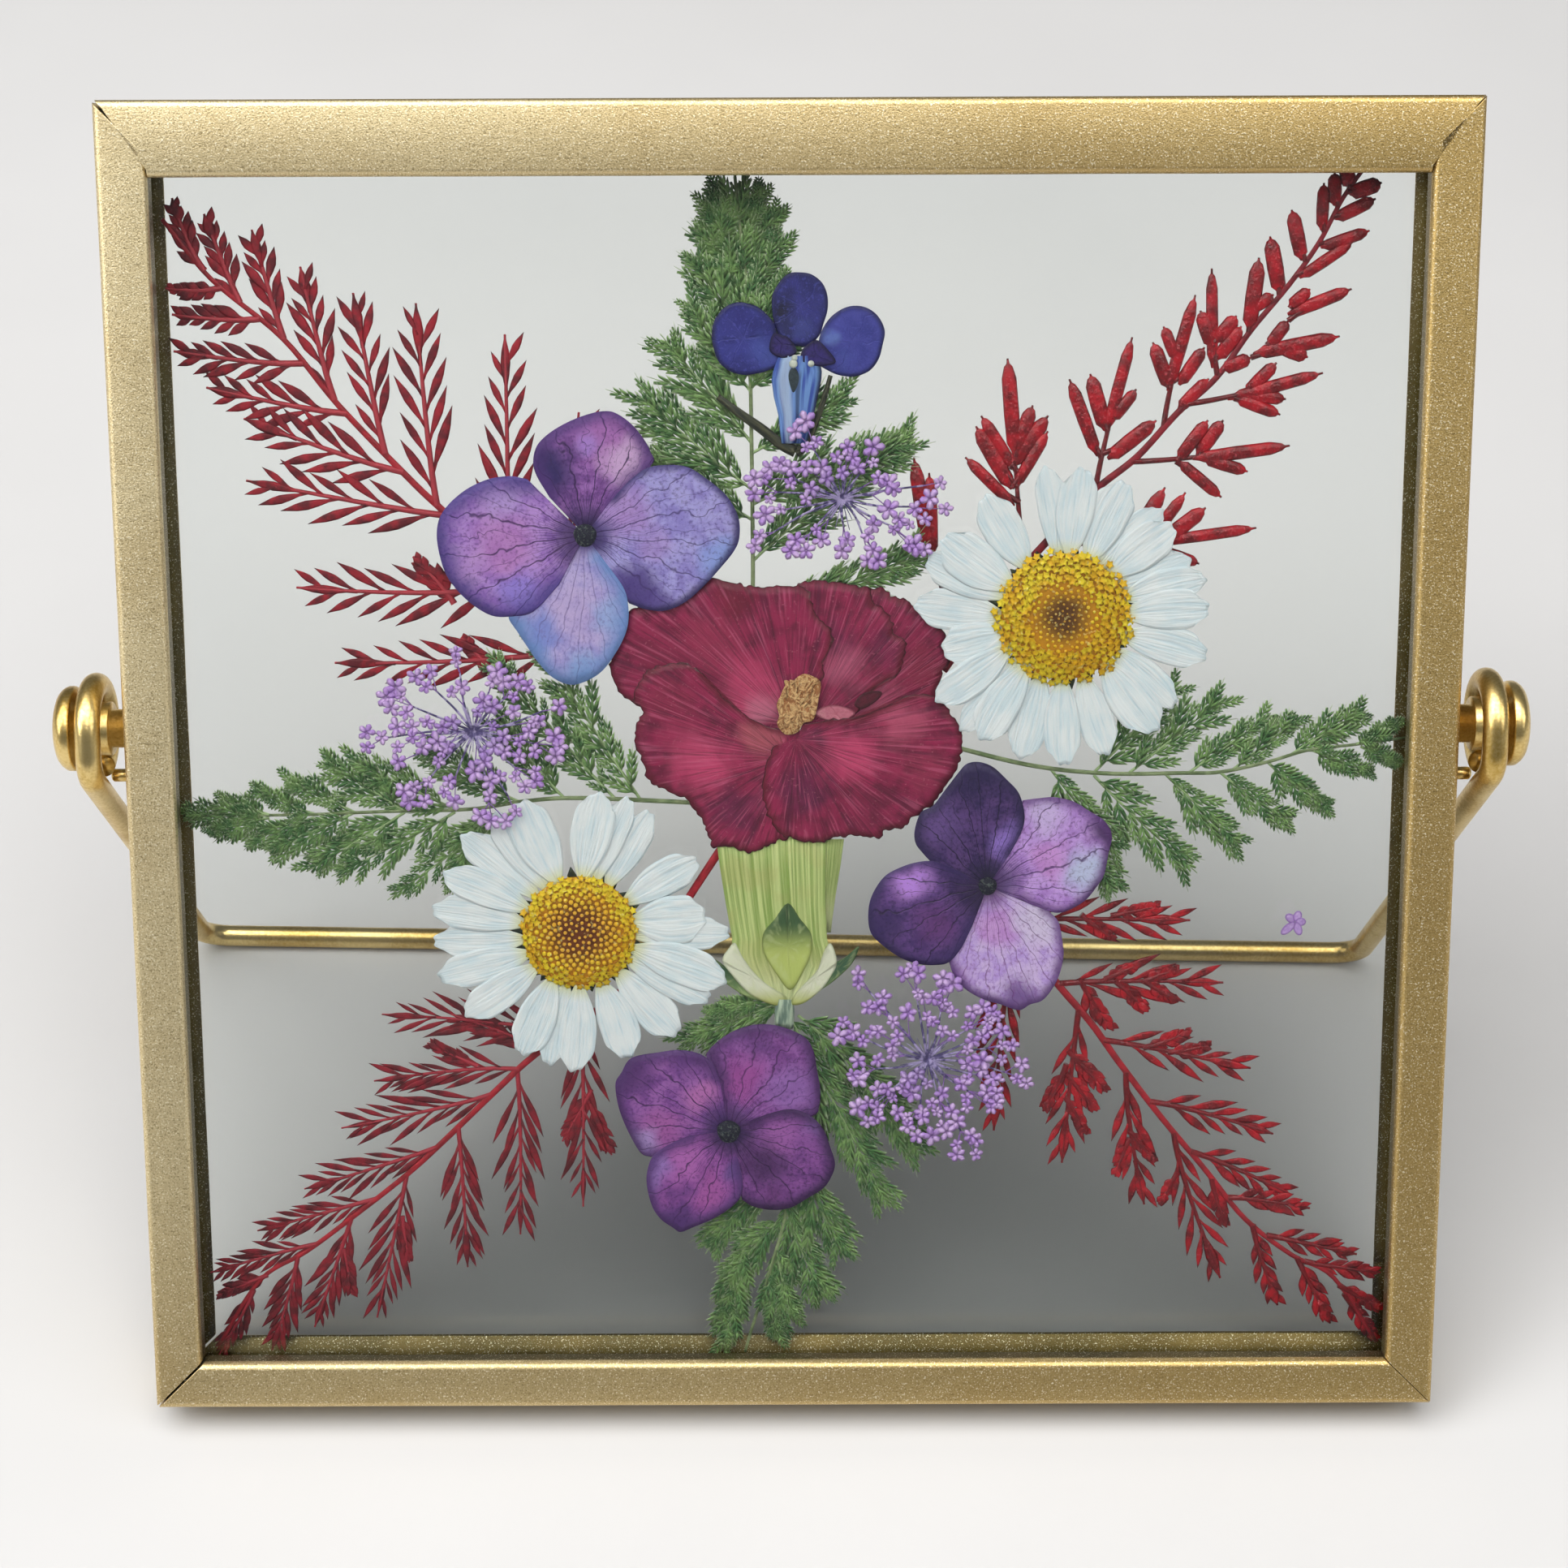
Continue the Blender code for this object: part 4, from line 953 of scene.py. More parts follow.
# %% Leaf finishes
def leaf_finish(name, body, dark, edge, tip, gloss, edge_width=0.18, tip_from=0.85, glint=0.0):
    """A leaflet's finish: cloudy colour, its edge, its tip, and a fine crinkle. With glint, the crinkles also
    get dark flecks and bright painted highlights.
    """
    def vary(shade, place):
        _, along, rim = shade.marks()
        cloud = place.grain(1.4, 3)
        fleck = place.grain(0.28, 3)
        colour = cloud.rise(0.35, 0.65).blend(body, dark)
        colour = layered(colour, (fleck.rise(0.58, 0.75) * 0.55, dark))
        # painted highlights: on glossy leaflets, bright specks stand for crinkles catching the light, beside
        # dark flecks
        if glint:
            colour = layered(
                colour, (fleck.fall(0.22, 0.36) * glint, edge),
                (fleck.rise(0.6, 0.68) * glint, (246, 96, 108)))
        colour = layered(
            colour, (rim.fall(0, edge_width) * 0.8, edge),
            (along.rise(tip_from, 1), tip))
        return colour, gloss + fleck * 0.25, fleck + cloud, 0.12 if glint else 0.06
    return finish(name, vary)


matt_red = leaf_finish("matt_red_leaf", (176, 26, 44), (108, 18, 32), (198, 66, 76), (84, 18, 28), 0.42,
                       edge_width=0.12, tip_from=0.8)
glossy_red = leaf_finish("glossy_red_pod", (200, 8, 34), (128, 2, 20), (96, 2, 16), (50, 2, 10), 0.2,
                         edge_width=0.2, tip_from=0.94, glint=0.5)
dull_red = leaf_finish("dull_red_leaf", (156, 24, 42), (98, 16, 28), (186, 52, 66), (92, 16, 26), 0.4,
                       edge_width=0.12)
bright_red = leaf_finish("bright_red_leaf", (196, 14, 34), (116, 8, 22), (124, 10, 24), (74, 10, 18), 0.22,
                         edge_width=0.25, glint=0.35)
green_leaf = leaf_finish("green_leaf", (132, 168, 96), (74, 118, 64), (176, 200, 142), (196, 214, 168), 0.45,
                         edge_width=0.3, tip_from=0.6)
red_stalk = leaf_finish("red_stalk", (190, 30, 46), (150, 24, 36), (180, 40, 50), (170, 30, 44), 0.35)
maroon_stalk = leaf_finish("maroon_stalk", (164, 30, 46), (120, 24, 36), (176, 56, 62), (130, 26, 38), 0.4)
green_stalk = leaf_finish("green_stalk", (150, 164, 118), (110, 128, 82), (176, 186, 146), (100, 120, 80),
                          0.45)

# %% [markdown]
# ## The eight fronds
#
# Four red fronds point to the corners and four green ones to the sides. The upper left one has
# matt lance-shaped leaflets, the upper right one glossy pods, the lower left one the finest
# leaflets, and the green ones are feathery.

# %% Upper left fern
UPPER_LEFT_FERN = dict(
    rachis=places([-219, 109, -265, 170, -326, 246, -367, 287, -437, 362, -489, 427, -556, 484, -600, 540]),
    leaves=places([-56, 37, -55, 86, -46, 24, -41, 71, -60, 33, -97, 37, -66, 35, -74, 43,
        -52, 19, -90, 22, -58, 20, -65, 27, -69, 53, -72, 92, -79, 63, -84, 94, -89, 73, -94, 99,
        -98, 85, -103, 106, -106, 92, -112, 109, -114, 97, -118, 112, -69, 49, -106, 58, -76, 59, -106, 70,
        -87, 70, -113, 76, -96, 79, -119, 83, -104, 87, -119, 90, -111, 93, -120, 95], each=4, parts=2))

# %% Upper right fern
UPPER_RIGHT_FERN = dict(
    rachis=places([150, 100, 198, 168, 249, 226, 295, 276, 337, 310, 375, 352, 412, 386, 444, 431,
                   480, 475, 507, 514, 528, 555, 552, 590]),
    leaves=places([46, 40, 42, 81, 28, 30, 24, 62, 56, 40, 91, 48, 43, 59, 37, 70, 43, 56, 36, 68,
        43, 53, 34, 62, 43, 62, 47, 72, 43, 60, 50, 70, 43, 56, 50, 67, 28, 42, 27, 59, 59, 56, 66, 85,
        60, 62, 54, 77, 61, 67, 58, 78, 62, 69, 67, 75, 63, 62, 71, 69, 72, 68, 78, 93, 73, 75, 70, 84,
        74, 81, 72, 87, 76, 76, 80, 83, 75, 71, 81, 77, 82, 78, 81, 98, 81, 83, 79, 90, 82, 84, 86, 89,
        83, 81, 87, 87, 83, 79, 89, 81, 88, 86, 90, 100, 89, 90, 93, 93, 94, 93, 92, 104, 98, 100, 96, 109,
        102, 105, 102, 114, 104, 110, 104, 116, 107, 113, 106, 117, 67, 60, 97, 64, 75, 62, 81, 69,
        79, 63, 84, 69, 80, 62, 89, 59, 75, 61, 84, 54, 78, 71, 103, 78, 88, 74, 94, 80, 88, 74, 96, 73,
        86, 73, 95, 70, 89, 83, 106, 85, 92, 83, 96, 88, 94, 83, 100, 81, 95, 90, 108, 94, 96, 91, 100, 94,
        98, 96, 108, 103, 102, 102, 111, 105, 105, 107, 112, 111, 107, 112, 113, 114, 72, 45, 81, 52,
        68, 43, 77, 55, 65, 43, 73, 56, 72, 44, 80, 41], each=4, parts=2))

# %% Lower left fern
LOWER_LEFT_FERN = dict(
    rachis=places([-55, -55, -105, -132, -138, -185, -176, -229, -260, -292, -302, -331, -355, -383,
                   -395, -420, -450, -464, -500, -502, -549, -533, -595, -605]),
    leaves=places([-48, -52, -83, -50, -52, -56, -69, -50, -57, -60, -85, -64, -64, -60, -74, -56,
        -60, -68, -92, -74, -72, -79, -100, -87, -85, -90, -110, -96, -98, -99, -120, -105,
        -108, -106, -119, -110, -54, -64, -56, -97, -67, -75, -67, -104, -78, -85, -86, -115,
        -80, -93, -79, -103, -90, -94, -99, -117, -92, -100, -91, -110, -101, -103, -108, -122,
        -111, -109, -119, -123, -40, -55, -43, -91, -41, -66, -47, -77, -41, -69, -37, -80], each=4, parts=2))

# %% Lower right fern
LOWER_RIGHT_FERN = dict(
    rachis=places([160, -90, 214, -147, 265, -217, 301, -260, 332, -304, 375, -361, 421, -417, 464, -471,
                   513, -510, 557, -535, 603, -605]),
    leaves=places([46, -29, 80, -31, 55, -43, 87, -44, 63, -43, 70, -40, 71, -43, 78, -41,
        65, -44, 72, -50, 71, -44, 78, -48, 58, -45, 65, -54, 63, -56, 93, -62, 71, -58, 81, -54,
        76, -59, 85, -57, 74, -68, 98, -76, 82, -79, 102, -89, 90, -89, 106, -92, 98, -97, 116, -102,
        105, -104, 121, -106, 112, -109, 122, -114, 64, -30, 74, -28, 58, -30, 65, -35, 56, -51, 55, -82,
        56, -61, 51, -71, 56, -68, 60, -76, 56, -63, 62, -71, 56, -58, 64, -67, 66, -64, 72, -91,
        68, -77, 66, -85, 69, -75, 74, -82, 76, -77, 88, -107, 79, -84, 75, -91, 85, -86, 89, -96,
        94, -96, 100, -113, 103, -104, 111, -117, 113, -111, 121, -121, 44, -34, 41, -75], each=4, parts=2))

# %% Top green fern
TOP_GREEN_FERN = dict(
    rachis=places([-38, 100, -38, 157, -37, 211, -38, 357, -40, 461, -46, 519, -53, 590]),
    leaves=places([-45, 250, -145, 315, -45, 280, -150, 375, -40, 325, -125, 430, -40, 375, -100, 465,
        -40, 415, -95, 510, -45, 450, -85, 540, -50, 485, -80, 560, -55, 515, -70, 575, -35, 155, 140, 220,
        -40, 210, 125, 335, -40, 265, 125, 330, -40, 315, 60, 375, -40, 375, 15, 440, -40, 415, 0, 485,
        -45, 445, -5, 525, -50, 485, -10, 550, -50, 515, -25, 570, -39, 380, -53, 578], each=4))

# %% Left green fern
LEFT_GREEN_FERN = dict(
    rachis=places([-80, -32, -208, -26, -265, -29, -321, -37, -406, -39, -491, -42, -605, -42]),
    leaves=places([-150, -30, -265, 155, -175, -30, -300, 125, -225, -30, -295, 60, -270, -35, -365, 30,
        -335, -40, -440, 15, -385, -40, -465, 15, -435, -40, -505, -5, -475, -45, -535, -15,
        -520, -45, -570, -25, -270, -35, -405, -130, -305, -35, -340, -125, -335, -40, -460, -105,
        -385, -40, -485, -100, -435, -45, -525, -80, -475, -45, -545, -70, -520, -45, -585, -60,
        -530, -42, -608, -41], each=4))

# %% Right green fern
RIGHT_GREEN_FERN = dict(
    rachis=places([140, 30, 234, 6, 310, -3, 385, -3, 426, -2, 472, 8, 513, 20, 557, 25, 608, 32]),
    leaves=places([67, -1, 86, 15, 79, -1, 95, 11, 88, -1, 101, 11, 99, 3, 114, 12, 112, 4, 120, 10,
        60, -1, 77, 18, 60, -2, 81, -21, 74, -2, 90, -16, 85, -1, 100, -11, 95, -1, 108, -8,
        103, 3, 116, -1, 114, 3, 121, 1, 51, -1, 66, -18, 52, -7, 65, -26], each=4, parts=2))

# %% Bottom green fern
BOTTOM_GREEN_FERN = dict(
    rachis=places([-4, -200, -4, -375, -7, -456, -20, -510, -44, -590, -50, -612]),
    leaves=places([-9, -83, -18, -101, -7, -92, -14, -109, -9, -100, -15, -116, -9, -106, -15, -122,
        -2, -76, 11, -103, -5, -88, 7, -112, -5, -99, 0, -116, -7, -104, -3, -120, 1, -50, 20, -92,
        4, -49, 27, -81, -6, -47, -23, -56, -7, -47, -17, -50], each=4, parts=2))

# %% Growing the fronds
LANCE_SPRIG = {"Spacing": 1.45, "Density": 0.08, "First": 0.03, "Angle": 0.46, "Side length": 8.2,
               "Side share": 0.46, "Side width": 0.54, "Taper": 0.66, "Tip share": 0.34, "Tip most": 6.0,
               "Tip width": 0.52, "Stalk": 0.34, "Spread": 0.16, "Uneven": 0.16, "Seed": 3, "Leaflet": lance}
POD_SPRIG = LANCE_SPRIG | {"First": 2.0, "Tip share": 0.97, "Tip most": 9.5, "Tip width": 0.7,
                           "Stalk": 0.3, "Seed": 5, "Leaflet": pod}
FINE_SPRIG = LANCE_SPRIG | {"Spacing": 1.0, "Density": 0.055, "Angle": 0.4, "Side length": 7.6,
                            "Side width": 0.38, "Tip most": 5.5, "Tip width": 0.36, "Stalk": 0.26,
                            "Uneven": 0.26, "Seed": 8}
SPINDLE_SPRIG = LANCE_SPRIG | {"Spacing": 1.3, "Density": 0.085, "Angle": 0.4, "Side length": 7.6,
                               "Side width": 0.5, "Tip most": 6.5, "Tip width": 0.55, "Seed": 13}
FEATHER_SPRIG = {"Spacing": 0.7, "Density": 0.045, "First": 0.03, "Angle": 0.44, "Side length": 7.5,
                 "Side share": 0.54, "Side width": 1.0, "Taper": 0.6, "Tip share": 0.3, "Tip most": 3.8,
                 "Tip width": 0.9, "Stalk": 0.16, "Spread": 0.3, "Uneven": 0.3, "Seed": 21, "Leaflet": lace}
LACE_SPRIG = FEATHER_SPRIG | {"Spacing": 0.85, "Density": 0.06, "Angle": 0.5, "Side length": 5.8,
                              "Side share": 0.48, "Seed": 34}

RED_LAYER, GREEN_LAYER = 6.12, 5.68    # depths of the fronds' middles
for name, node, shape, lift, leaf, stalk, sizes in (
        ("matt_red_frond", "upper_left_fern", UPPER_LEFT_FERN, 0, matt_red, red_stalk, LANCE_SPRIG),
        ("podded_red_frond", "upper_right_fern", UPPER_RIGHT_FERN, 0.02, glossy_red, maroon_stalk, POD_SPRIG),
        ("fine_red_frond", "lower_left_fern", LOWER_LEFT_FERN, 0, dull_red, red_stalk, FINE_SPRIG),
        ("bright_red_frond", "lower_right_fern", LOWER_RIGHT_FERN, 0, bright_red, red_stalk, SPINDLE_SPRIG)):
    frond(name, node, shape, RED_LAYER - lift, leaf, stalk, sizes)
for name, node, shape, sizes in (
        ("top_feathery_frond", "top_green_fern", TOP_GREEN_FERN, FEATHER_SPRIG),
        ("left_lacy_frond", "left_green_fern", LEFT_GREEN_FERN, LACE_SPRIG),
        ("right_lacy_frond", "right_green_fern", RIGHT_GREEN_FERN, LACE_SPRIG),
        ("bottom_feathery_frond", "bottom_green_fern", BOTTOM_GREEN_FERN, FEATHER_SPRIG)):
    frond(name, node, shape, GREEN_LAYER, green_leaf, green_stalk, sizes, thick=(0.24, 0.14))
for shape in (lance, pod, lace):
    bpy.data.objects.remove(shape)

# %% [markdown]
# ## Petals as sheets
#
# A pressed petal is a thin sheet with a curved outline, veins that spread from its base and a
# darker rim. It could be a flat cut-out with a picture, but here it is a fan of rings from its
# base to its outline, so that the veins and the rim can follow the petal's own marks.

# %% Sheets
PETAL = 0.05    # a petal's thickness, in millimetres


def edge_distance(outline, point):
    """How far a point lies from an outline, in millimetres."""
    return (nearest_on([outline], point) - point).length


def fan_sheet(piece, base, outline, depth, slot=0, rings=10, relief=0.05, closed=False, centre=(0, 0),
              cup=0.0):
    """A sheet from its base point out to an outline. Its relief is soft noise, and a cupped
    sheet's middle lies further back than its rim."""
    centre, base = Vector(centre), Vector(base)
    rows, marks = [], []
    count = len(outline) - (0 if closed else 1)
    for ring in range(rings + 1):
        row, mark = [], []
        part = ring / rings
        for number, rim_point in enumerate(outline):
            place = base + (rim_point - base) * part
            far = edge_distance(outline + outline[:1] if closed else outline, place)
            world = centre + place
            wave = noise.noise(Vector((world.x * 0.45, world.y * 0.45, slot * 3.7 + depth))) * relief
            row.append((world.x, world.y, depth + wave * min(1.0, part * 2) + cup * (1 - part)))
            mark.append((number / count, part, far))
        rows.append(row)
        marks.append(mark)
    piece.grid(rows, marks, slot, ring=closed)


print("sheets are ready")

# %% [markdown]
# ## Hydrangea florets
#
# A hydrangea floret has four sepals round a small speckled knob. The sepals overlap. Each is
# cloudy violet, with blue or pink places and a dark rim, and its veins fork towards the rim.
# The veins are lines across the sheet's marks: each fork doubles their number.

# %% Petal finish
def petal_finish(name, pale, deep, rim, rim_width, spots, vein, vein_strength, veins=5, gloss=0.5):
    """A cloudy petal with spots, forking veins, dark streaks at its base and a dark rim."""
    def vary(shade, place):
        across, along, far = shade.marks()
        cloud = place.grain(1.6, 4, warp=0.4)
        fine = place.grain(0.32, 3)
        colour = (cloud * 0.7 + fine * 0.3).rise(0.39, 0.61).blend(pale, deep)
        colour = spotted(colour, place.waver(3, 1.6), spots)
        wander = (place.grain(2.2, 2) - 0.5) * 0.9
        spread = along * 0.9 + 0.05
        main = across.lines(veins, 0.026, wander, spread)
        fork = across.lines(veins * 2, 0.02, wander * 2.0, spread) * along.rise(0.3, 0.45)
        twig = across.lines(veins * 4, 0.018, wander * 4.0, spread) * along.rise(0.55, 0.7)
        lines = main.apply("MAXIMUM", (fork * 0.75).apply("MAXIMUM", twig * 0.5))
        root = across.lines(veins * 5, 0.06, wander * 4.0, spread) * along.fall(0.2, 0.6)
        dark = (far + (cloud - 0.5) * (rim_width * 1.6)).fall(0, rim_width * 1.8)
        colour = layered(
            colour, (lines * min(1.0, vein_strength * 1.25), vein),
            (root * vein_strength, vein),
            (fine.rise(0.52, 0.68) * 0.4, vein),
            (dark * 0.9, rim))
        return colour, gloss + fine * 0.15, fine * 0.5 + cloud - lines * 0.5, 0.09
    return finish(name, vary, Sheen_Weight=0.0)


knob_skin = speckled("hydrangea_knob", 0.25, 2, (0.5, 0.7), (22, 24, 44), (84, 92, 88), 0.55, 0.2, 0.15)

# %% A floret with four sepals
def hydrangea(name, node, centre, knob, sepals):
    """sepals, the furthest back first, are (finish, depth, pale, deep and rim colours, rim's width,
    vein colour, its strength, veins, gloss, spots, outline), with places from the centre."""
    piece = Piece()
    skins = []
    x, height = centre
    for slot, (skin, depth, *colours, strength, veins, gloss, spots, outline) in enumerate(sepals):
        pale, deep, rim, rim_width, vein = colours
        fan_sheet(piece, (0, 0), smooth(outline, 5), depth, slot, 12, centre=centre, relief=0.03, cup=0.04)
        spots = [(x + spot[0], height + spot[1], *spot[2:]) for spot in spots]
        skins.append(petal_finish(skin, pale, deep, rim, rim_width, spots, vein, strength, veins, gloss))
    rows = [[(x + knob * out * math.cos(turn) * (1 + 0.06 * math.sin(3 * turn)),
              height + knob * out * math.sin(turn), 4.42 - lift) for turn in circle(28)]
            for out, lift in ((0, 0.34), (0.35, 0.33), (0.65, 0.26), (0.9, 0.15), (1, 0.02), (1.02, -0.12))]
    piece.grid(rows, slot=len(sepals), ring=True)
    made = piece.make(name, skins + [knob_skin], sheet=PETAL)
    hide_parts(node)

# %% Upper left hydrangea
hydrangea("upper_left_floret", "upper_left_hydrangea", (-20, 23.7), 1.1, [
    ("sepal_ul_top", 4.68, (170, 112, 192), (126, 74, 150), (84, 48, 122), 1, (58, 30, 84), 0.75, 6, 0.5,
     [(2.2, 9.6, 4.2, (184, 116, 190), 0.8), (4, 7, 3, (226, 184, 228), 0.9),
      (0.4, 8.9, 2.2, (180, 142, 224), 0.7), (-3.9, 6.3, 4.6, (50, 36, 100), 0.97),
      (0, 0, 4.5, (46, 32, 88), 0.9)],
     places([-34, 37, -46, 58, -49, 72, -45, 87, -33, 99, -14, 110, 8, 118, 25, 120, 37, 115, 49, 105,
         59, 92, 65, 80, 67, 70, 48, 51, 27, 27])),
    ("sepal_ul_right", 4.6, (184, 174, 234), (152, 138, 214), (62, 50, 112), 0.5,
     (70, 46, 112), 0.6, 7, 0.5,
     [(3.4, 2.4, 4, (190, 146, 214), 0.8), (13.3, -2.6, 3.2, (150, 172, 238), 0.9),
      (6.5, -1, 2.5, (190, 150, 215), 0.5), (4.9, -5.6, 3.8, (78, 56, 130), 0.95),
      (7.2, -7, 2.6, (96, 76, 150), 0.8), (0, 0, 3.4, (60, 42, 104), 0.9)],
     places([27, 35, 44, 53, 61, 65, 79, 68, 100, 66, 118, 55, 137, 39, 149, 18, 150, -3, 144, -17,
         130, -34, 117, -48, 98, -65, 78, -74, 59, -73, 42, -67])),
    ("sepal_ul_bottom", 4.52, (206, 188, 236), (172, 160, 224), (112, 152, 216), 1.2,
     (130, 108, 180), 0.35, 8, 0.5,
     [(-1.4, -7.4, 4, (208, 182, 228), 0.6), (2.6, -8, 2.6, (160, 186, 236), 0.8),
      (-4.6, -9.4, 3, (128, 146, 222), 0.85), (-0.6, -13, 2.6, (140, 176, 230), 0.8),
      (0, 0, 3, (74, 56, 120), 0.8)],
     places([-72, -73, -76, -81, -68, -94, -58, -110, -48, -125, -34, -140, -17, -147, 0, -143, 16, -132,
         31, -111, 40, -90, 41, -69, 36, -50, 18, -25])),
    ("sepal_ul_left", 4.44, (196, 150, 222), (160, 112, 200), (76, 60, 140), 1.5,
     (70, 34, 92), 0.7, 6, 0.5,
     [(-8, -1, 4.5, (202, 132, 198), 0.6), (-8, 3.5, 3, (198, 170, 230), 0.6),
      (-6.4, -5.6, 3.2, (150, 132, 224), 0.8), (-11, -3.6, 2.5, (205, 160, 222), 0.6),
      (0, 0, 4.6, (56, 36, 96), 0.85)],
     places([-55, 55, -73, 58, -96, 54, -119, 42, -138, 23, -144, 3, -141, -22, -133, -43, -115, -64,
         -93, -78, -72, -79, -51, -74, -26, -48]))])

# %% Right hydrangea
hydrangea("right_floret", "right_hydrangea", (19.5, -11.5), 0.9, [
    ("sepal_r_bottom", 4.68, (227, 199, 246), (199, 161, 235), (121, 79, 149), 0.7,
     (135, 79, 148), 0.5, 8, 0.5,
     [(1.2, -4.2, 3, (214, 149, 222), 0.7), (5.2, -3.8, 3.2, (235, 220, 246), 0.85),
      (3.4, -11.8, 3, (104, 68, 133), 0.8), (-2.6, -9.6, 2, (162, 104, 190), 0.6),
      (0, 0, 3, (83, 47, 104), 0.85)],
     places([-38, -78, -33, -92, -22, -106, -4, -117, 15, -123, 33, -129, 44, -123, 56, -119, 66, -107,
         73, -92, 77, -72, 75, -54, 71, -37, 60, -25])),
    ("sepal_r_right", 4.6, (218, 172, 242), (186, 136, 218), (97, 56, 122), 0.7,
     (79, 44, 106), 0.7, 6, 0.5,
     [(5.9, 7.2, 3, (224, 199, 246), 0.85), (9.6, 1.6, 3.2, (208, 218, 246), 0.9),
      (6, 2.6, 2.6, (221, 151, 222), 0.6), (12, 6.2, 3.2, (72, 37, 92), 0.95),
      (0, 0, 4.6, (63, 38, 97), 0.9)],
     places([34, 87, 50, 89, 65, 90, 83, 86, 100, 76, 116, 65, 123, 51, 120, 33, 116, 11, 109, -1, 99, -14,
         86, -23, 72, -28, 58, -25, 32, -14])),
    ("sepal_r_top", 4.52, (94, 63, 124), (61, 38, 95), (41, 26, 76), 0.9, (31, 17, 52), 0.8, 9, 0.45,
     [(-5.2, 6.6, 3.8, (112, 82, 146), 0.8), (2.2, 4.4, 2.9, (168, 132, 227), 0.85),
      (-0.9, 11, 3.4, (40, 26, 76), 0.9), (0, 0, 3.2, (34, 23, 65), 0.9)],
     places([-55, 23, -65, 34, -72, 44, -73, 57, -67, 75, -55, 82, -43, 98, -31, 114, -22, 124, -10, 126,
         4, 121, 18, 108, 29, 96, 34, 83, 36, 69, 33, 55, 22, 33])),
    ("sepal_r_left", 4.46, (110, 72, 140), (74, 45, 110), (56, 37, 95), 0.9, (38, 19, 59), 0.8, 7, 0.45,
     [(-7.9, 1, 3.6, (211, 151, 246), 0.95), (-5.2, -3.9, 3.2, (106, 54, 119), 0.7),
      (-10.4, -4, 2.6, (58, 37, 95), 0.8), (0, 0, 5.2, (45, 24, 72), 0.9)],
     places([-26, 14, -51, 25, -69, 25, -88, 19, -104, 9, -116, -11, -119, -31, -116, -48, -105, -60,
         -87, -73, -68, -80, -50, -81, -38, -78, -26, -64, -15, -41]))])

# %% Bottom hydrangea
hydrangea("bottom_floret", "bottom_hydrangea", (-6.5, -37), 1.15, [
    ("sepal_b_top", 4.68, (166, 103, 182), (130, 70, 146), (76, 38, 99), 1, (70, 31, 86), 0.6, 7, 0.5,
     [(1.6, 5.4, 3.6, (171, 80, 160), 0.8), (6.8, 4.6, 3.6, (158, 110, 187), 0.7),
      (3, 9.6, 2.8, (101, 54, 121), 0.7), (-0.1, 3.3, 0.62, (56, 19, 56), 1),
      (0, 0, 4, (52, 31, 92), 0.92)],
     places([-6, 30, -9, 57, -17, 76, -22, 81, -11, 94, 7, 106, 27, 112, 43, 112, 59, 108, 77, 99, 86, 85,
         90, 63, 93, 43, 92, 26, 86, 16, 57, 9])),
    ("sepal_b_left", 4.6, (164, 101, 180), (128, 70, 151), (79, 42, 106), 1, (68, 30, 88), 0.75, 8, 0.5,
     [(-2.7, 3.7, 2.6, (200, 119, 189), 0.85), (-6.6, 0.2, 3.4, (176, 94, 166), 0.75),
      (-8.9, -1.5, 2.8, (185, 155, 216), 0.95), (-10, 6, 3.8, (88, 45, 112), 0.9),
      (-4, 7.6, 2.4, (101, 56, 128), 0.7), (0, 0, 4.2, (49, 30, 94), 0.92)],
     places([-9, 57, -16, 72, -29, 82, -48, 86, -67, 84, -97, 78, -108, 62, -114, 51, -112, 30, -106, 10,
         -96, -12, -88, -24, -79, -27])),
    ("sepal_b_right", 4.6, (149, 86, 164), (110, 56, 128), (63, 31, 85), 0.9, (56, 24, 72), 0.7, 7, 0.5,
     [(5.2, -0.4, 3, (173, 101, 180), 0.85), (8.9, 0.8, 2.2, (162, 119, 196), 0.8),
      (3.4, -3.4, 4, (72, 35, 90), 0.85), (4.4, -7.4, 2.6, (115, 59, 124), 0.6),
      (0, 0, 3.6, (47, 28, 81), 0.92)],
     places([26, 13, 46, 20, 65, 23, 83, 16, 96, 2, 103, -17, 108, -35, 104, -49, 96, -61, 81, -71, 62, -82,
         42, -84, 24, -80, 13, -73])),
    ("sepal_b_low", 4.5, (166, 93, 175), (130, 68, 146), (86, 51, 117), 0.9, (65, 28, 83), 0.7, 6, 0.5,
     [(-4.4, -3, 3, (191, 108, 189), 0.85), (-7.8, -3.8, 2.6, (167, 129, 205), 0.9),
      (-2, -6.6, 2.8, (182, 94, 173), 0.8), (-5.2, -9.6, 2.8, (81, 45, 115), 0.9),
      (0.9, -4.4, 1.9, (106, 80, 148), 0.8), (-5, -6.4, 2, (106, 54, 128), 0.7),
      (0, 0, 3.4, (41, 28, 81), 0.92)],
     places([-39, -4, -56, -11, -72, -21, -80, -31, -84, -52, -79, -78, -70, -93, -58, -102, -50, -107,
         -37, -102, -17, -93, -1, -83, 11, -71, 14, -54, 10, -32]))])

# %% [markdown]
# ## Daisies
#
# A daisy is a crowd of flowers. Its white rays are florets of one kind, and its disc is a spiral
# of tiny ones, each about 137.5 degrees on from the one before. The rays are measured one by one:
# where the tip points, how far it reaches, and which of its neighbours it covers. The disc is a
# rule, so a tree sets it: the inner florets are round buds, and the outer ones are open and frilly.

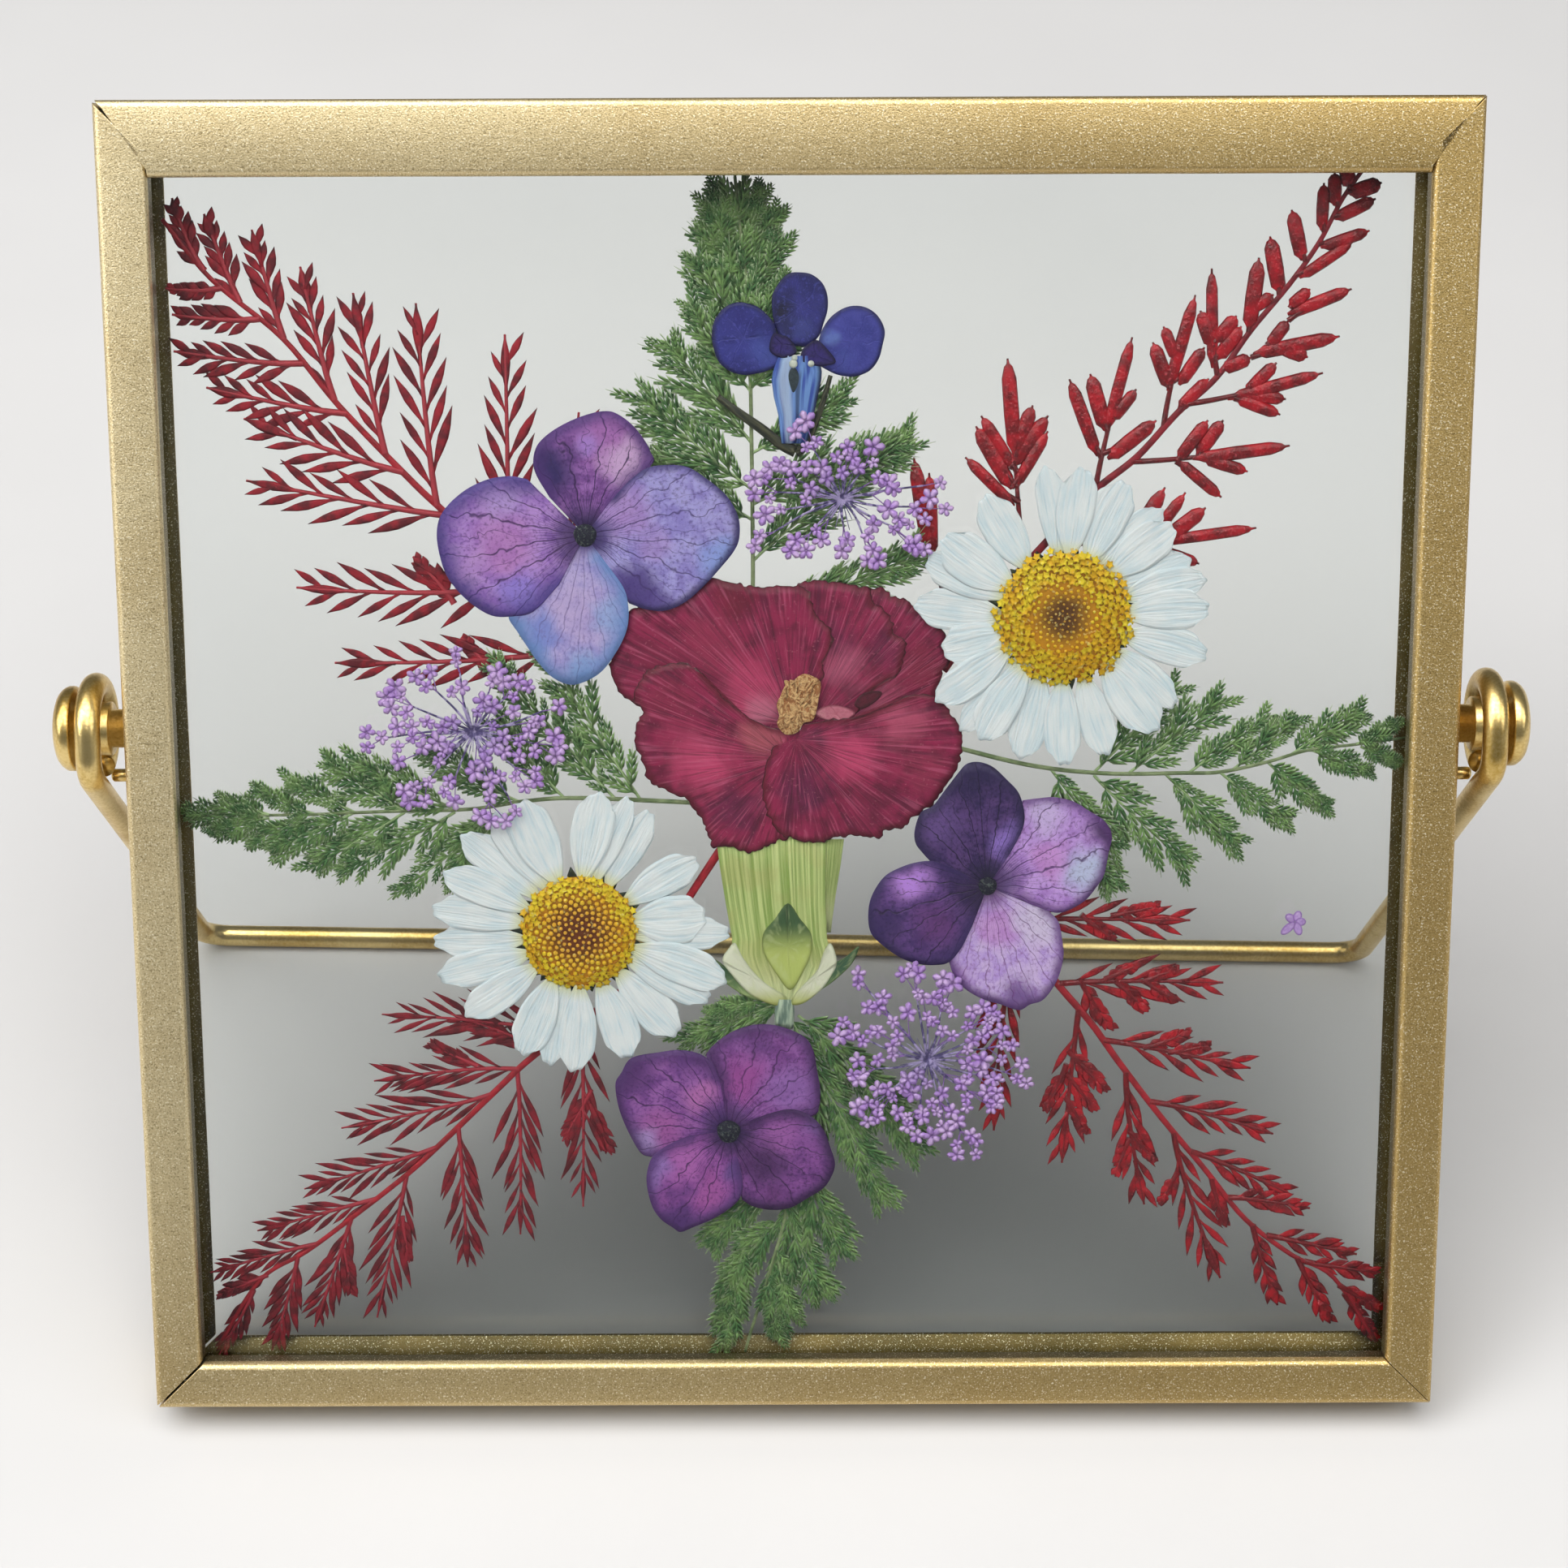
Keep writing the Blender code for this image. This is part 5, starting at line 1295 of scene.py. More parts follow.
# %% The tree of a disc
GOLDEN_TURN = 2.39996    # 137.5 degrees
discs, size, maker = node_tree("discs", [
    "Count", "First", "Spacing", "Crowding", "Size", "Dome", "Reach", "Tilt", "Uneven", "Seed", "Floret",
    "Finish"])
number = maker.make("GeometryNodeInputIndex") + size["First"]
turn = number * GOLDEN_TURN
out = number.apply("POWER", size["Crowding"]) * size["Spacing"] * (
    1.0 + chance(-0.06, 0.06, 1) * size["Uneven"])
share = out / size["Reach"]
lift = size["Dome"] * (1.0 - share * share) + chance(-0.06, 0.06, 2) * size["Uneven"]
spot = maker.vector(turn.apply("COSINE") * out * MM, turn.apply("SINE") * out * MM, lift * MM)
spots = maker.make("GeometryNodePoints", {0: size["Count"], 1: spot})
lean = maker.vector(chance(-0.3, 0.3, 3) * size["Uneven"], share * size["Tilt"],
                    turn + chance(-0.5, 0.5, 4) * size["Uneven"])
scale = size["Size"] * (1.0 + chance(-0.22, 0.22, 5) * size["Uneven"]) * (
    0.55 + 0.45 * share.rise(0, 0.6))
crowd = planted(spots, size["Floret"], lean, scale)
end_tree(discs, maker.make("GeometryNodeInstanceOnPoints", {0: size["Start"], 2: crowd}), size["Finish"])


def turned_floret(name, rings, sides, lobes=0.0):
    """A small round floret; rings are (radius, height), and lobes make them wavy."""
    piece = Piece()
    last = len(rings) - 1
    rows = [[(radius * (1 + lobes * math.cos(5 * turn)) * math.cos(turn),
              radius * (1 + lobes * math.cos(5 * turn)) * math.sin(turn), -height)
             for turn in circle(sides)] for radius, height in rings]
    marks = [[(side / sides, number / last, 1.0) for side in range(sides)] for number in range(last + 1)]
    piece.grid(rows, marks, ring=True)
    piece.fan(rows[0][::-1], mark=(0.5, 0, 1))
    piece.fan(rows[-1], mark=(0.5, 1, 1))
    return pattern_object(name, piece)


bud = turned_floret("bud", [(0.34, -0.5), (0.5, 0), (0.44, 0.3), (0.2, 0.46)], 6)
frill = turned_floret("frill", [(0.3, -0.5), (0.42, 0), (0.62, 0.28), (0.3, 0.1)], 10, lobes=0.28)
print("the disc tree has", len(discs.nodes), "nodes")

# %% Daisy finishes
def ray_finish(shade, place):
    _, along, far = shade.marks()
    cloud = place.grain(2.6, 3)
    ridge = shade.streaks(14, 2)
    # partly painted light: the ridges come out a little whiter than the grooves
    colour = (cloud * 0.5 + ridge * 0.5).rise(0.36, 0.62).blend((228, 243, 248), (250, 254, 254))
    colour = layered(
        colour, (along.fall(0.03, 0.24), (238, 238, 186)),
        # painted shade: grey-blue in the grooves between the ridges, and along each ray's rim where it
        # overlaps the next
        (ridge.fall(0.28, 0.42) * 0.3, (186, 212, 224)),
        (far.fall(0, 0.1) * 0.35, (178, 206, 218)))
    return colour, 0.45 + cloud * 0.15, ridge + cloud * 0.5, 0.12


white_ray = finish("daisy_ray", ray_finish)
dark_bract = speckled("daisy_bract", 0.5, 3, (0.4, 0.6), (34, 44, 30), (62, 72, 44), 0.55, 0.2, 0.08)

# %% Disc finish
def disc_finish(name, centre, depth, heart_reach, heart_top, heart_gap_shade):
    """Florets with bright tops, and painted shade on their lower parts in the gaps between them. Near the
    middle both colours change.
    """
    def vary(shade, place):
        along = shade.marks()[1]
        fleck = place.grain(0.45, 2)
        cloud = place.grain(1.6, 2)
        heart = place.waver(1.5, 0.5).near(*centre, heart_reach, depth)
        top = heart.blend(cloud.rise(0.4, 0.6).blend((255, 226, 40), (250, 196, 16)), heart_top)
        # painted shade: the florets' lower parts, down in the gaps, are a darker orange
        gap = heart.blend((222, 156, 8), heart_gap_shade)
        colour = along.rise(0.2, 0.75).blend(gap, top)
        colour = (fleck.rise(0.6, 0.72) * 0.6).blend(colour, (255, 240, 150))
        return colour, 0.5 + fleck * 0.2, fleck, 0.06
    return finish(name, vary)

# %% One ray
def bearing(turn):
    """A step of one from the middle, at a turn."""
    return Vector((math.cos(turn), math.sin(turn)))


def ray(piece, centre, root, tip_turn, reach, width, base_turn, depth, dice):
    """One white ray as a grid: narrow at the disc, broad beyond its middle, with a toothed tip."""
    start = bearing(math.radians(base_turn)) * root
    axis = bearing(math.radians(tip_turn)) * reach - start
    side = Vector((-axis.y, axis.x)).normalized()
    phase, lean, bow = dice.uniform(0, 6.28), dice.uniform(-0.25, 0.25), dice.uniform(-0.25, 0.25)
    rows, marks = [], []
    for step in range(19):
        t = step / 18
        swell = 0.14 + 0.86 * math.sin(math.pi / 2 * min(1.0, t / 0.55))
        half = width / 2 * swell * (1 - 0.3 * max(0.0, (t - 0.7) / 0.3) ** 2)
        row, mark = [], []
        for column in range(13):
            u = column / 6 - 1
            blunt = 0.15 * abs(u) ** 2.4 * (1 + lean * u) + 0.016 * (1 + math.cos(7.5 * u + phase))
            arch = math.sin(math.pi * t)
            spot = Vector(centre) + start + axis * t * (1 - blunt * t ** 5) + side * (half * u + bow * arch)
            fold = 0.035 * math.cos(7 * u + phase) * arch - 0.05 * u * u * t
            row.append((spot.x, spot.y, depth + fold))
            mark.append((column / 12 + phase, t, min((1 - abs(u)) * half + 0.02, (1 - t) * axis.length)))
        rows.append(row)
        marks.append(mark)
    piece.grid(rows, marks)

# %% A whole daisy
RAY_LAYER = 0.085    # how far each layer of rays lies behind the one before it
BRACTS = 26


def daisy(name, node, centre, rays, depth, disc, skin, seed):
    """rays are (tip's bearing, reach, width, bearing at the disc, layer); disc gives its radius,
    its lift, and the sizes of its buds and its frills."""
    dice = random.Random(seed)
    radius, lift = disc["radius"], disc["lift"]
    root = radius - 0.7
    rim = Piece()
    for tip_turn, reach, width, base_turn, layer in rays:
        ray(rim, centre, root, tip_turn, reach, width, base_turn, depth + RAY_LAYER * layer, dice)
    green = Piece()
    for number in range(BRACTS):
        spoke = bearing(math.tau * (number + dice.uniform(-0.3, 0.3)) / BRACTS)
        inner, outer = spoke * root, spoke * (radius + dice.uniform(0.5, 1.3))
        green.tube([(centre[0] + place.x, centre[1] + place.y, depth + 0.33)
                    for place in (inner, (inner + outer) / 2, outer)], [0.62, 0.42, 0.04], 6, flat=0.15)
    heart = Piece()
    levels = ((0, lift - 0.08), (0.3, lift * 0.9 - 0.08), (0.6, lift * 0.64 - 0.08),
              (0.85, lift * 0.28 - 0.06), (0.97, -0.02), (0.97, -0.25), (0, -0.25))
    bed = [[(centre[0] + radius * out * math.cos(turn), centre[1] + radius * out * math.sin(turn),
             depth - height) for turn in circle(48)] for out, height in levels]
    heart.grid(bed, [[(0.5, 0.1, 1)] * 48] * len(bed), ring=True)
    white = rim.make(name + "_rays", [white_ray], body=None, sheet=PETAL)
    under = green.make(name + "_bracts", [dark_bract], body=None)
    base = heart.make(name + "_bed", [skin], body=None)
    spot = bpy.data.meshes.new("disc_place")
    spot.from_pydata([on_plate(*centre, depth - 0.02)], [], [])
    common = {"Spacing": disc["spacing"], "Crowding": disc["crowding"], "Dome": lift, "Reach": radius,
              "Finish": skin}
    parts = [white, under, base]
    for first, count, more in disc["florets"]:
        sizes = dict(common, First=float(first), Count=count, Seed=seed + first, **more)
        parts.append(grown(discs, spot.copy(), sizes))
    gather(name, parts, node)

# %% Right daisy
RIGHT_DAISY = (26.7, 15.5)
right_disc = disc_finish("right_disc", RIGHT_DAISY, 4.3, 3.4, (214, 160, 50), (104, 62, 12))
daisy("right_ray_flower", "right_daisy", RIGHT_DAISY, [
    (98, 15, 3, 97, 1), (84, 14.8, 3.8, 86, 0), (66.5, 14.5, 4.2, 67, 1), (48, 14.2, 3.2, 55, 2),
    (40.5, 13.9, 4.1, 44, 1), (24.5, 13.6, 3.8, 30, 2), (15, 14.4, 3.4, 18, 1), (3.5, 14.3, 4, 2, 0),
    (-15.5, 14.7, 3.8, -18, 1), (-39, 14.3, 3.4, -33, 2), (-51, 14.8, 4.3, -48, 1),
    (-72, 14.6, 3.5, -72, 2), (-89, 14.9, 3.6, -91, 1), (-106.5, 14.8, 3.7, -111, 2),
    (-123.5, 14.7, 4, -127, 0), (-131.5, 15.2, 3, -138, 1), (-146.5, 15.1, 3.6, -152, 0),
    (-164.5, 12.4, 4.4, -165, 1), (175, 14.8, 4, 179, 2), (156, 14.8, 4.4, 160, 1),
    (147, 14.4, 4.6, 150, 0), (123.5, 14.4, 4, 127, 2)], 4.45,
    {"radius": 6.35, "lift": 0.24, "spacing": 0.255, "crowding": 0.56, "florets": [
        (1, 110, {"Size": 0.42, "Tilt": 0.2, "Uneven": 0.7, "Floret": bud}),
        (111, 230, {"Size": 0.64, "Tilt": 0.45, "Uneven": 0.6, "Floret": frill})]}, right_disc, 40)

# %% Left daisy
LEFT_DAISY = (-21.3, -16.2)
left_disc = disc_finish("left_disc", LEFT_DAISY, 4.6, 5.0, (250, 186, 60), (120, 58, 10))
daisy("left_ray_flower", "left_daisy", LEFT_DAISY, [
    (80.5, 14.6, 4.2, 86, 0), (69.5, 14.8, 3.2, 72, 1), (59.5, 14.4, 3.4, 58, 2), (31.5, 14.1, 3.7, 33, 2),
    (7, 12.9, 5, 12, 0), (-0.5, 15.2, 3.5, -4, 1), (-19.5, 15.7, 4.1, -18, 0), (-28.5, 14.9, 3.6, -31, 1),
    (-48, 14.6, 4.1, -47, 2), (-70, 14.1, 3.9, -69, 1), (-93.5, 14.7, 3.8, -91, 0),
    (-103.5, 14.4, 3.2, -105, 1), (-115.5, 14.2, 4, -120, 0), (-143.5, 14.6, 3.6, -141, 0),
    (-162, 15.1, 3.6, -156, 1), (-176.5, 14.8, 3.4, -172, 2), (170.5, 15, 3.6, 171, 1),
    (155.5, 14.9, 3.6, 155, 0), (139, 15.4, 3.7, 139, 2), (124.5, 15, 3.4, 126, 1),
    (113, 14.7, 4.6, 112, 0)], 4.95,
    {"radius": 5.85, "lift": 0.4, "spacing": 0.33, "crowding": 0.5, "florets": [
        (1, 20, {"Size": 0.6, "Tilt": 0.3, "Uneven": 0.2, "Floret": bud}),
        (21, 150, {"Size": 0.53, "Tilt": 0.3, "Uneven": 0.3, "Floret": bud}),
        (171, 130, {"Size": 0.58, "Tilt": 0.5, "Uneven": 0.6, "Floret": frill})]}, left_disc, 50)

# %% [markdown]
# ## Carnation
#
# A carnation pressed on its side shows five broad, ruffled petals that fold over each other, a few
# crinkled stamens, and below them the green calyx with its bracts. They grew as one flower, so
# they are one object. Each petal is a fan from where it leaves the calyx, and the order of the
# folds is read from the photograph: each one's dark crimson edge crosses the petal behind it.

# %% Ruffled petals
def ruffled(points, amount=0.34, wave=0.5):
    """A smooth open outline with a carnation's small teeth along it."""
    line = smooth(points, 6)
    made = []
    for number, point in enumerate(line):
        along = line[min(number + 1, len(line) - 1)] - line[max(number - 1, 0)]
        out = Vector((along.y, -along.x)).normalized()
        tooth = noise.noise(Vector((point.x / wave, point.y / wave, 3.0)))
        made.append(point + out * amount * tooth)
    return made


def carnation_petal(name, spots):
    """Burgundy with fine dark and rosy streaks that run out to a crimson edge."""
    def vary(shade, place):
        far = shade.marks()[2]
        cloud = place.grain(2, 4, warp=0.4)
        fine = place.grain(0.3, 3)
        wide = shade.streaks(34, 1.5)
        thin = shade.streaks(110, 2.5)
        colour = (cloud * 0.6 + wide * 0.4).rise(0.36, 0.62).blend((112, 14, 56), (160, 32, 80))
        colour = spotted(colour, place.waver(2.5, 1.8), spots)
        dark = (far + (cloud - 0.5) * 0.81).fall(0, 0.9)
        colour = layered(
            colour, (wide.fall(0.26, 0.44) * 0.55, (94, 18, 58)),
            (thin.rise(0.54, 0.68) * 0.45, (214, 100, 136)),
            (thin.fall(0.32, 0.46) * 0.5, (78, 8, 40)),
            (fine.rise(0.62, 0.74) * 0.4, (206, 112, 136)),
            (dark * 0.85, (112, 8, 42)),
            (far.fall(0.02, 0.16) * 0.8, (66, 4, 22)))
        return colour, 0.42 + fine * 0.15, wide + thin * 0.5 + cloud, 0.12
    return finish(name, vary)


def crumpled_finish(shade, place):
    fold = place.grain(0.7, 3, warp=2.0)
    fleck = place.grain(0.25, 3)
    colour = fold.rise(0.38, 0.6).blend((182, 120, 68), (242, 196, 134))
    colour = layered(
        colour, (fleck.fall(0.26, 0.38) * 0.6, (112, 54, 40)),
        (fleck.rise(0.6, 0.72) * 0.7, (248, 218, 164)))
    return colour, 0.5 + fleck * 0.2, fold + fleck * 0.4, 0.35

# %% The carnation's petals
PINK, PLUM = (216, 74, 118), (100, 30, 72)
CARNATION = [    # name, base, depth, spots and outline, the furthest back first
    ("petal_far", (3.7, 4), 5.22,
     [(8.5, 7.5, 3.5, (196, 96, 124), 0.6), (13, 10, 4, (140, 34, 66), 0.8)],
     places([47, 156, 65, 179, 77, 182, 91, 183, 98, 176, 112, 172, 126, 164, 140, 156, 150, 139, 154, 122,
         156, 108, 148, 99, 141, 72, 117, 46, 70, 28])),
    ("petal_middle", (1.4, 4), 5.13,
     [(5.2, 10.5, 3.2, (188, 92, 122), 0.75), (4.4, 13.6, 2.6, PLUM, 0.5),
      (9.5, 12.5, 3, PLUM, 0.4)],
     places([-23, 133, -9, 175, 5, 187, 19, 191, 37, 190, 61, 186, 75, 183, 82, 168, 92, 162, 100, 149,
         99, 140, 110, 134, 112, 120, 105, 99, 82, 85, 66, 62, 49, 28])),
    ("petal_near", (0.3, 4.8), 5.04,
     [(-4.2, 8.8, 4.4, PINK, 0.7), (-2.8, 6.4, 2.6, (220, 130, 156), 0.6),
      (-8, 13.5, 4.5, (164, 48, 84), 0.7), (-13, 11, 4, (140, 34, 70), 0.7),
      (-5.5, 17.5, 3, (120, 18, 46), 0.7)],
     places([24, 26, -30, 24, -90, 34, -141, 62, -167, 79, -178, 102, -177, 115, -170, 130, -165, 149,
         -156, 164, -140, 169, -124, 170, -110, 174, -93, 184, -79, 193, -60, 190, -46, 187, -32, 186,
         -14, 186, 5, 187, 16, 182, 23, 161, 35, 147, 41, 135, 37, 123, 30, 109, 33, 99, 21, 76])),
    ("petal_low_left", (-0.3, 1.5), 4.95,
     [(-8.6, 0.7, 4.2, PINK, 0.85), (-10.5, 2.8, 3.4, (190, 66, 104), 0.6),
      (-3.2, 3.6, 3.2, (206, 110, 116), 0.55), (-5.6, -3.8, 3.6, PLUM, 0.6),
      (-12, 7.5, 3.6, (150, 40, 74), 0.6), (-2.2, -2.4, 2.4, (176, 70, 112), 0.5)],
     places([3, 42, -24, 47, -57, 66, -75, 85, -94, 105, -110, 111, -130, 107, -143, 100, -153, 86,
         -155, 74, -147, 64, -153, 48, -155, 33, -148, 14, -141, -8, -126, -17, -107, -25, -95, -39,
         -86, -54, -81, -71, -74, -76, -58, -76, -44, -81, -29, -77, -17, -70, -3, -64, -1, -35, -3, 1])),
    ("petal_low_right", (0.5, 3.4), 4.86,
     [(5.8, 1.8, 3.8, PINK, 0.85), (10.6, 4.9, 3.6, (200, 88, 118), 0.75),
      (1.4, -1.6, 3.6, PLUM, 0.7), (8, -3.8, 3, (126, 28, 66), 0.5),
      (13.2, 0.4, 3.6, (160, 50, 82), 0.5), (2.6, 3.8, 2.2, PLUM, 0.45)],
     places([11, 49, 37, 53, 66, 56, 94, 66, 117, 78, 141, 77, 152, 68, 162, 51, 169, 37, 168, 17, 162, 1,
         151, -16, 137, -35, 122, -45, 111, -56, 94, -59, 87, -67, 68, -64, 51, -65, 37, -67, 28, -71,
         6, -69, -8, -64, -17, -54, -24, -42, -29, -18, -26, 9, -15, 28]))]
STAMEN_BUNCH = places([-14, 71, -2, 88, 11, 99, 23, 96, 29, 90, 27, 74, 22, 54, 12, 50, 6, 41, -6, 39,
    -14, 49, -12, 58])
PETALOID = places([23, 59, 31, 66, 43, 68, 56, 65, 63, 59, 52, 52, 36, 52])
SMALL_FOLD = places([62, 69, 72, 80, 89, 81, 84, 72, 70, 64])

# %% Calyx and stem
CALYX = [    # height, left edge, right edge
    (-5.6, -7.6, 3.4), (-9.5, -7.2, 3.35), (-13.5, -6.6, 3.35), (-17, -6, 3.5), (-18.6, -6.1, 3.9),
    (-19.8, -5.8, 4.1), (-21, -4.9, 3.4), (-22, -4.1, 2.6), (-23, -2.9, 1.5), (-23.9, -1.6, 0.2)]
SIDE_STRIP = [(-6.8, 3.1, 5.2), (-9.5, 3.1, 4.85), (-12.6, 3.1, 4.35), (-14.8, 3.2, 4.05), (-16.4, 3.3, 3.86)]
MIDDLE_BRACT = places([-4, -133, 8, -149, 19, -165, 19, -185, 10, -206, -2, -223, -16, -206, -28, -185,
    -29, -165, -17, -149])
LEFT_BRACT = places([-70, -192, -63, -179, -57, -174, -50, -188, -38, -205, -23, -219, -6, -230, -11, -239,
    -27, -236, -45, -225, -60, -208])
RIGHT_BRACT = places([45, -194, 39, -175, 32, -183, 26, -201, 12, -217, 2, -228, -1, -238, 11, -237,
    28, -224, 39, -209])
SMALL_BRACT = places([12, -231, 28, -209, 42, -196, 54, -189, 67, -178, 62, -193, 52, -205, 34, -220])
LOW_BRACT = places([-90, -188, -76, -192, -64, -202, -46, -218, -22, -234, -42, -232, -62, -220, -79, -205])

# %% Calyx finishes
def calyx_finish(shade, place):
    along = shade.marks()[1]
    line = shade.streaks(34, 1.6)
    cloud = place.grain(3.5, 2)
    colour = line.rise(0.35, 0.62).blend((150, 176, 88), (212, 224, 146))
    colour = layered(
        colour, (along.rise(0.35, 0.8) * 0.55, (234, 234, 180)),
        (line.fall(0.2, 0.36) * 0.8, (86, 112, 48)),
        (cloud.rise(0.45, 0.65) * 0.3, (190, 180, 110)))
    return colour, 0.5 + line * 0.1, line, 0.2


def bract_skin(name, top, foot_colour, start, end):
    """A bract that is green at its tip and pale towards its foot, by its height on the frame."""
    def vary(shade, place):
        far = shade.marks()[2]
        line = shade.streaks(16, 2)
        colour = place.towards(UP).rise(start, end).blend(foot_colour, top)
        colour = layered(
            colour, (line.rise(0.5, 0.7) * 0.35, (214, 222, 160)),
            (far.fall(0, 0.2) * 0.35, (120, 140, 60)))
        return colour, 0.5 + line * 0.1, line, 0.15
    return finish(name, vary)


def striped(name, count, length, ramp, colour, other, gloss, change, bump):
    """A finish of stripes of two colours along a sheet or a stem."""
    def vary(shade, place):
        line = shade.streaks(count, length)
        return line.rise(*ramp).blend(colour, other), gloss + line * change, line, bump
    return finish(name, vary)

# %% Closed sheets and strips
def strip(piece, levels, depth, slot=0, bulge=0.0, columns=13):
    """A sheet between a left and a right edge, given at a few heights from its top down."""
    rows, marks = [], []
    total = len(levels) - 1
    shares = [column / (columns - 1) for column in range(columns)]
    for number, (height, left, right) in enumerate(levels):
        rows.append([(left + (right - left) * u, height, depth - bulge * math.sin(math.pi * u)
                      + 0.03 * math.cos(u * 40)) for u in shares])
        marks.append([(u, number / total, min(u, 1 - u) * (right - left) + 0.01) for u in shares])
    piece.grid(rows, marks, slot)


def closed_sheet(piece, outline, depth, slot=0, rings=6, relief=0.03):
    """A sheet that fans out from the middle of a closed outline."""
    points = [Vector(point) for point in outline]
    centre = sum(points, Vector((0, 0))) / len(points)
    fan_sheet(piece, centre, smooth(points, closed=True), depth, slot, rings, relief, closed=True)

# %% Growing the carnation
flower = Piece()
for slot, (_, base, depth, _, outline) in enumerate(CARNATION):
    fan_sheet(flower, base, ruffled(outline), depth, slot, 14, relief=0.035)
closed_sheet(flower, STAMEN_BUNCH, 4.79, 5, 9, relief=0.06)
closed_sheet(flower, PETALOID, 4.93, 6)
closed_sheet(flower, SMALL_FOLD, 4.95, 7)
strip(flower, CALYX, 5.12, 8, 0.04, 41)
strip(flower, SIDE_STRIP, 5.2, 8)
for outline, depth, slot in ((MIDDLE_BRACT, 4.98, 9), (LEFT_BRACT, 5.04, 10), (RIGHT_BRACT, 5.04, 10),
                             (SMALL_BRACT, 5.15, 11), (LOW_BRACT, 5.2, 11)):
    closed_sheet(flower, outline, depth, slot)
petaloid_skin = petal_finish("petaloid", (226, 148, 160), (206, 116, 136), (132, 40, 66), 0.16, [],
                             (190, 90, 110), 0.4, veins=4)
fold_skin = petal_finish("small_fold", (112, 22, 50), (92, 14, 40), (70, 6, 26), 0.3, [], (70, 8, 30), 0.4)
bloom = flower.make("carnation_sheets", [carnation_petal(row[0], row[3]) for row in CARNATION] + [
    finish("stamens", crumpled_finish), petaloid_skin, fold_skin, finish("calyx", calyx_finish),
    bract_skin("middle_bract", (66, 96, 58), (196, 208, 112), -19.0, -15.2),
    bract_skin("pale_bract", (236, 236, 208), (190, 194, 104), -23.8, -21.8),
    bract_skin("small_bract", (58, 96, 66), (134, 160, 98), -23.0, -20.0)], body=None, sheet=PETAL)

STAMENS = 22
details = Piece()
dice = random.Random(12)
for number in range(STAMENS):
    start = Vector((dice.uniform(-0.9, 1.2), dice.uniform(4.2, 5.6)))
    end = Vector((dice.uniform(-0.9, 2.5), dice.uniform(6.2, 9.3)))
    if end.x > 0.6 and end.y < 7:
        end.y += 1.5
    bow = Vector((dice.uniform(-0.7, 0.7), dice.uniform(-0.3, 0.3)))
    path = smooth([start, (start + end) / 2 + bow, end, end + bow * 0.5], 4)
    details.tube([(place.x, place.y, 4.70 + 0.02 * math.sin(3 * number + step))
                  for step, place in enumerate(path)],
                 [0.11 + 0.1 * step / (len(path) - 1) for step in range(len(path))], 6, flat=0.35)
details.tube([(-0.75, -23.3, 5.2), (-0.78, -24.4, 5.2), (-0.8, -25.6, 5.22), (-0.85, -26.3, 5.25)],
             [0.8, 1, 0.98, 0.9], 16, slot=1, flat=0.3)
fibres = details.make("carnation_details", [
    finish("filament", crumpled_finish),
    striped("carnation_stem", 9, 1.2, (0.4, 0.6), (110, 132, 118), (186, 202, 176), 0.5, 0.1, 0.15)],
    body=None)
gather("ruffled_carnation", [bloom, fibres], "carnation")

# %% [markdown]
# ## Lobelia
#
# A lobelia's flower is a short tube with three broad lobes and two small ones. Pressed from the
# front, the blue and white stripes of the tube run down from its dark throat to the stalk.

# %% The lobelia's outlines
LEFT_LOBE = places([-14, 436, -19, 445, -30, 455, -41, 459, -51, 460, -63, 455, -72, 444, -75, 432,
    -74, 418, -69, 404, -59, 395, -46, 391, -33, 392, -19, 396, -9, 404])
TOP_LOBE = places([-14, 436, -17, 451, -17, 466, -10, 479, -1, 487, 10, 488, 21, 486, 31, 478, 36, 466,
    36, 452, 32, 439, 28, 428, 16, 418, -6, 422])
RIGHT_LOBE = places([28, 426, 36, 442, 46, 451, 58, 456, 72, 455, 84, 447, 91, 433, 89, 419, 85, 405,
    76, 394, 62, 389, 48, 390, 36, 395, 27, 403])
SMALL_LEFT_LOBE = places([-8, 407, -19, 413, -19, 424, -15, 431, -9, 429, -1, 426, 6, 416, 4, 410])
SMALL_RIGHT_LOBE = places([10, 406, 12, 415, 17, 420, 26, 424, 36, 415, 44, 403, 31, 399, 18, 401])
LOBELIA_TUBE = [    # height, left edge, right edge
    (40.9, -1.1, 2.7), (40.2, -1.4, 2.9), (39.4, -1.65, 3.05), (38.6, -1.8, 3), (37, -1.6, 2.65),
    (35.2, -1.15, 2.25), (33.6, -1, 1.9), (32.5, -0.85, 1.6)]
THROAT = [(0.3, 39.9), (-0.15, 39.2), (-0.05, 38.2), (0.3, 37.4), (0.75, 38.2), (0.8, 39.2)]

# %% Lobelia finishes
def tube_finish(shade, place):
    across, along, _ = shade.marks()
    line = shade.streaks(9, 1.3)
    stripes = line.rise(0.38, 0.6).blend((58, 84, 176), (120, 160, 224))
    pale = (across - along * 0.05 - 0.24).apply("ABSOLUTE").fall(0.05, 0.2)
    throat = (across - 0.54).apply("ABSOLUTE").fall(0.02, 0.07) * along.rise(0.2, 0.4)
    colour = layered(
        stripes, (pale * 0.7, (196, 214, 238)),
        (throat * 0.7, (20, 32, 66)),
        (across.rise(0.86, 1) * 0.9, (20, 26, 56)))
    return colour, 0.4 + line * 0.2, line, 0.25


def lobe_finish(name, pale, deep, spots):
    return petal_finish(name, pale, deep, (26, 24, 84), 0.35, spots, (92, 96, 196), 0.25, veins=6, gloss=0.4)

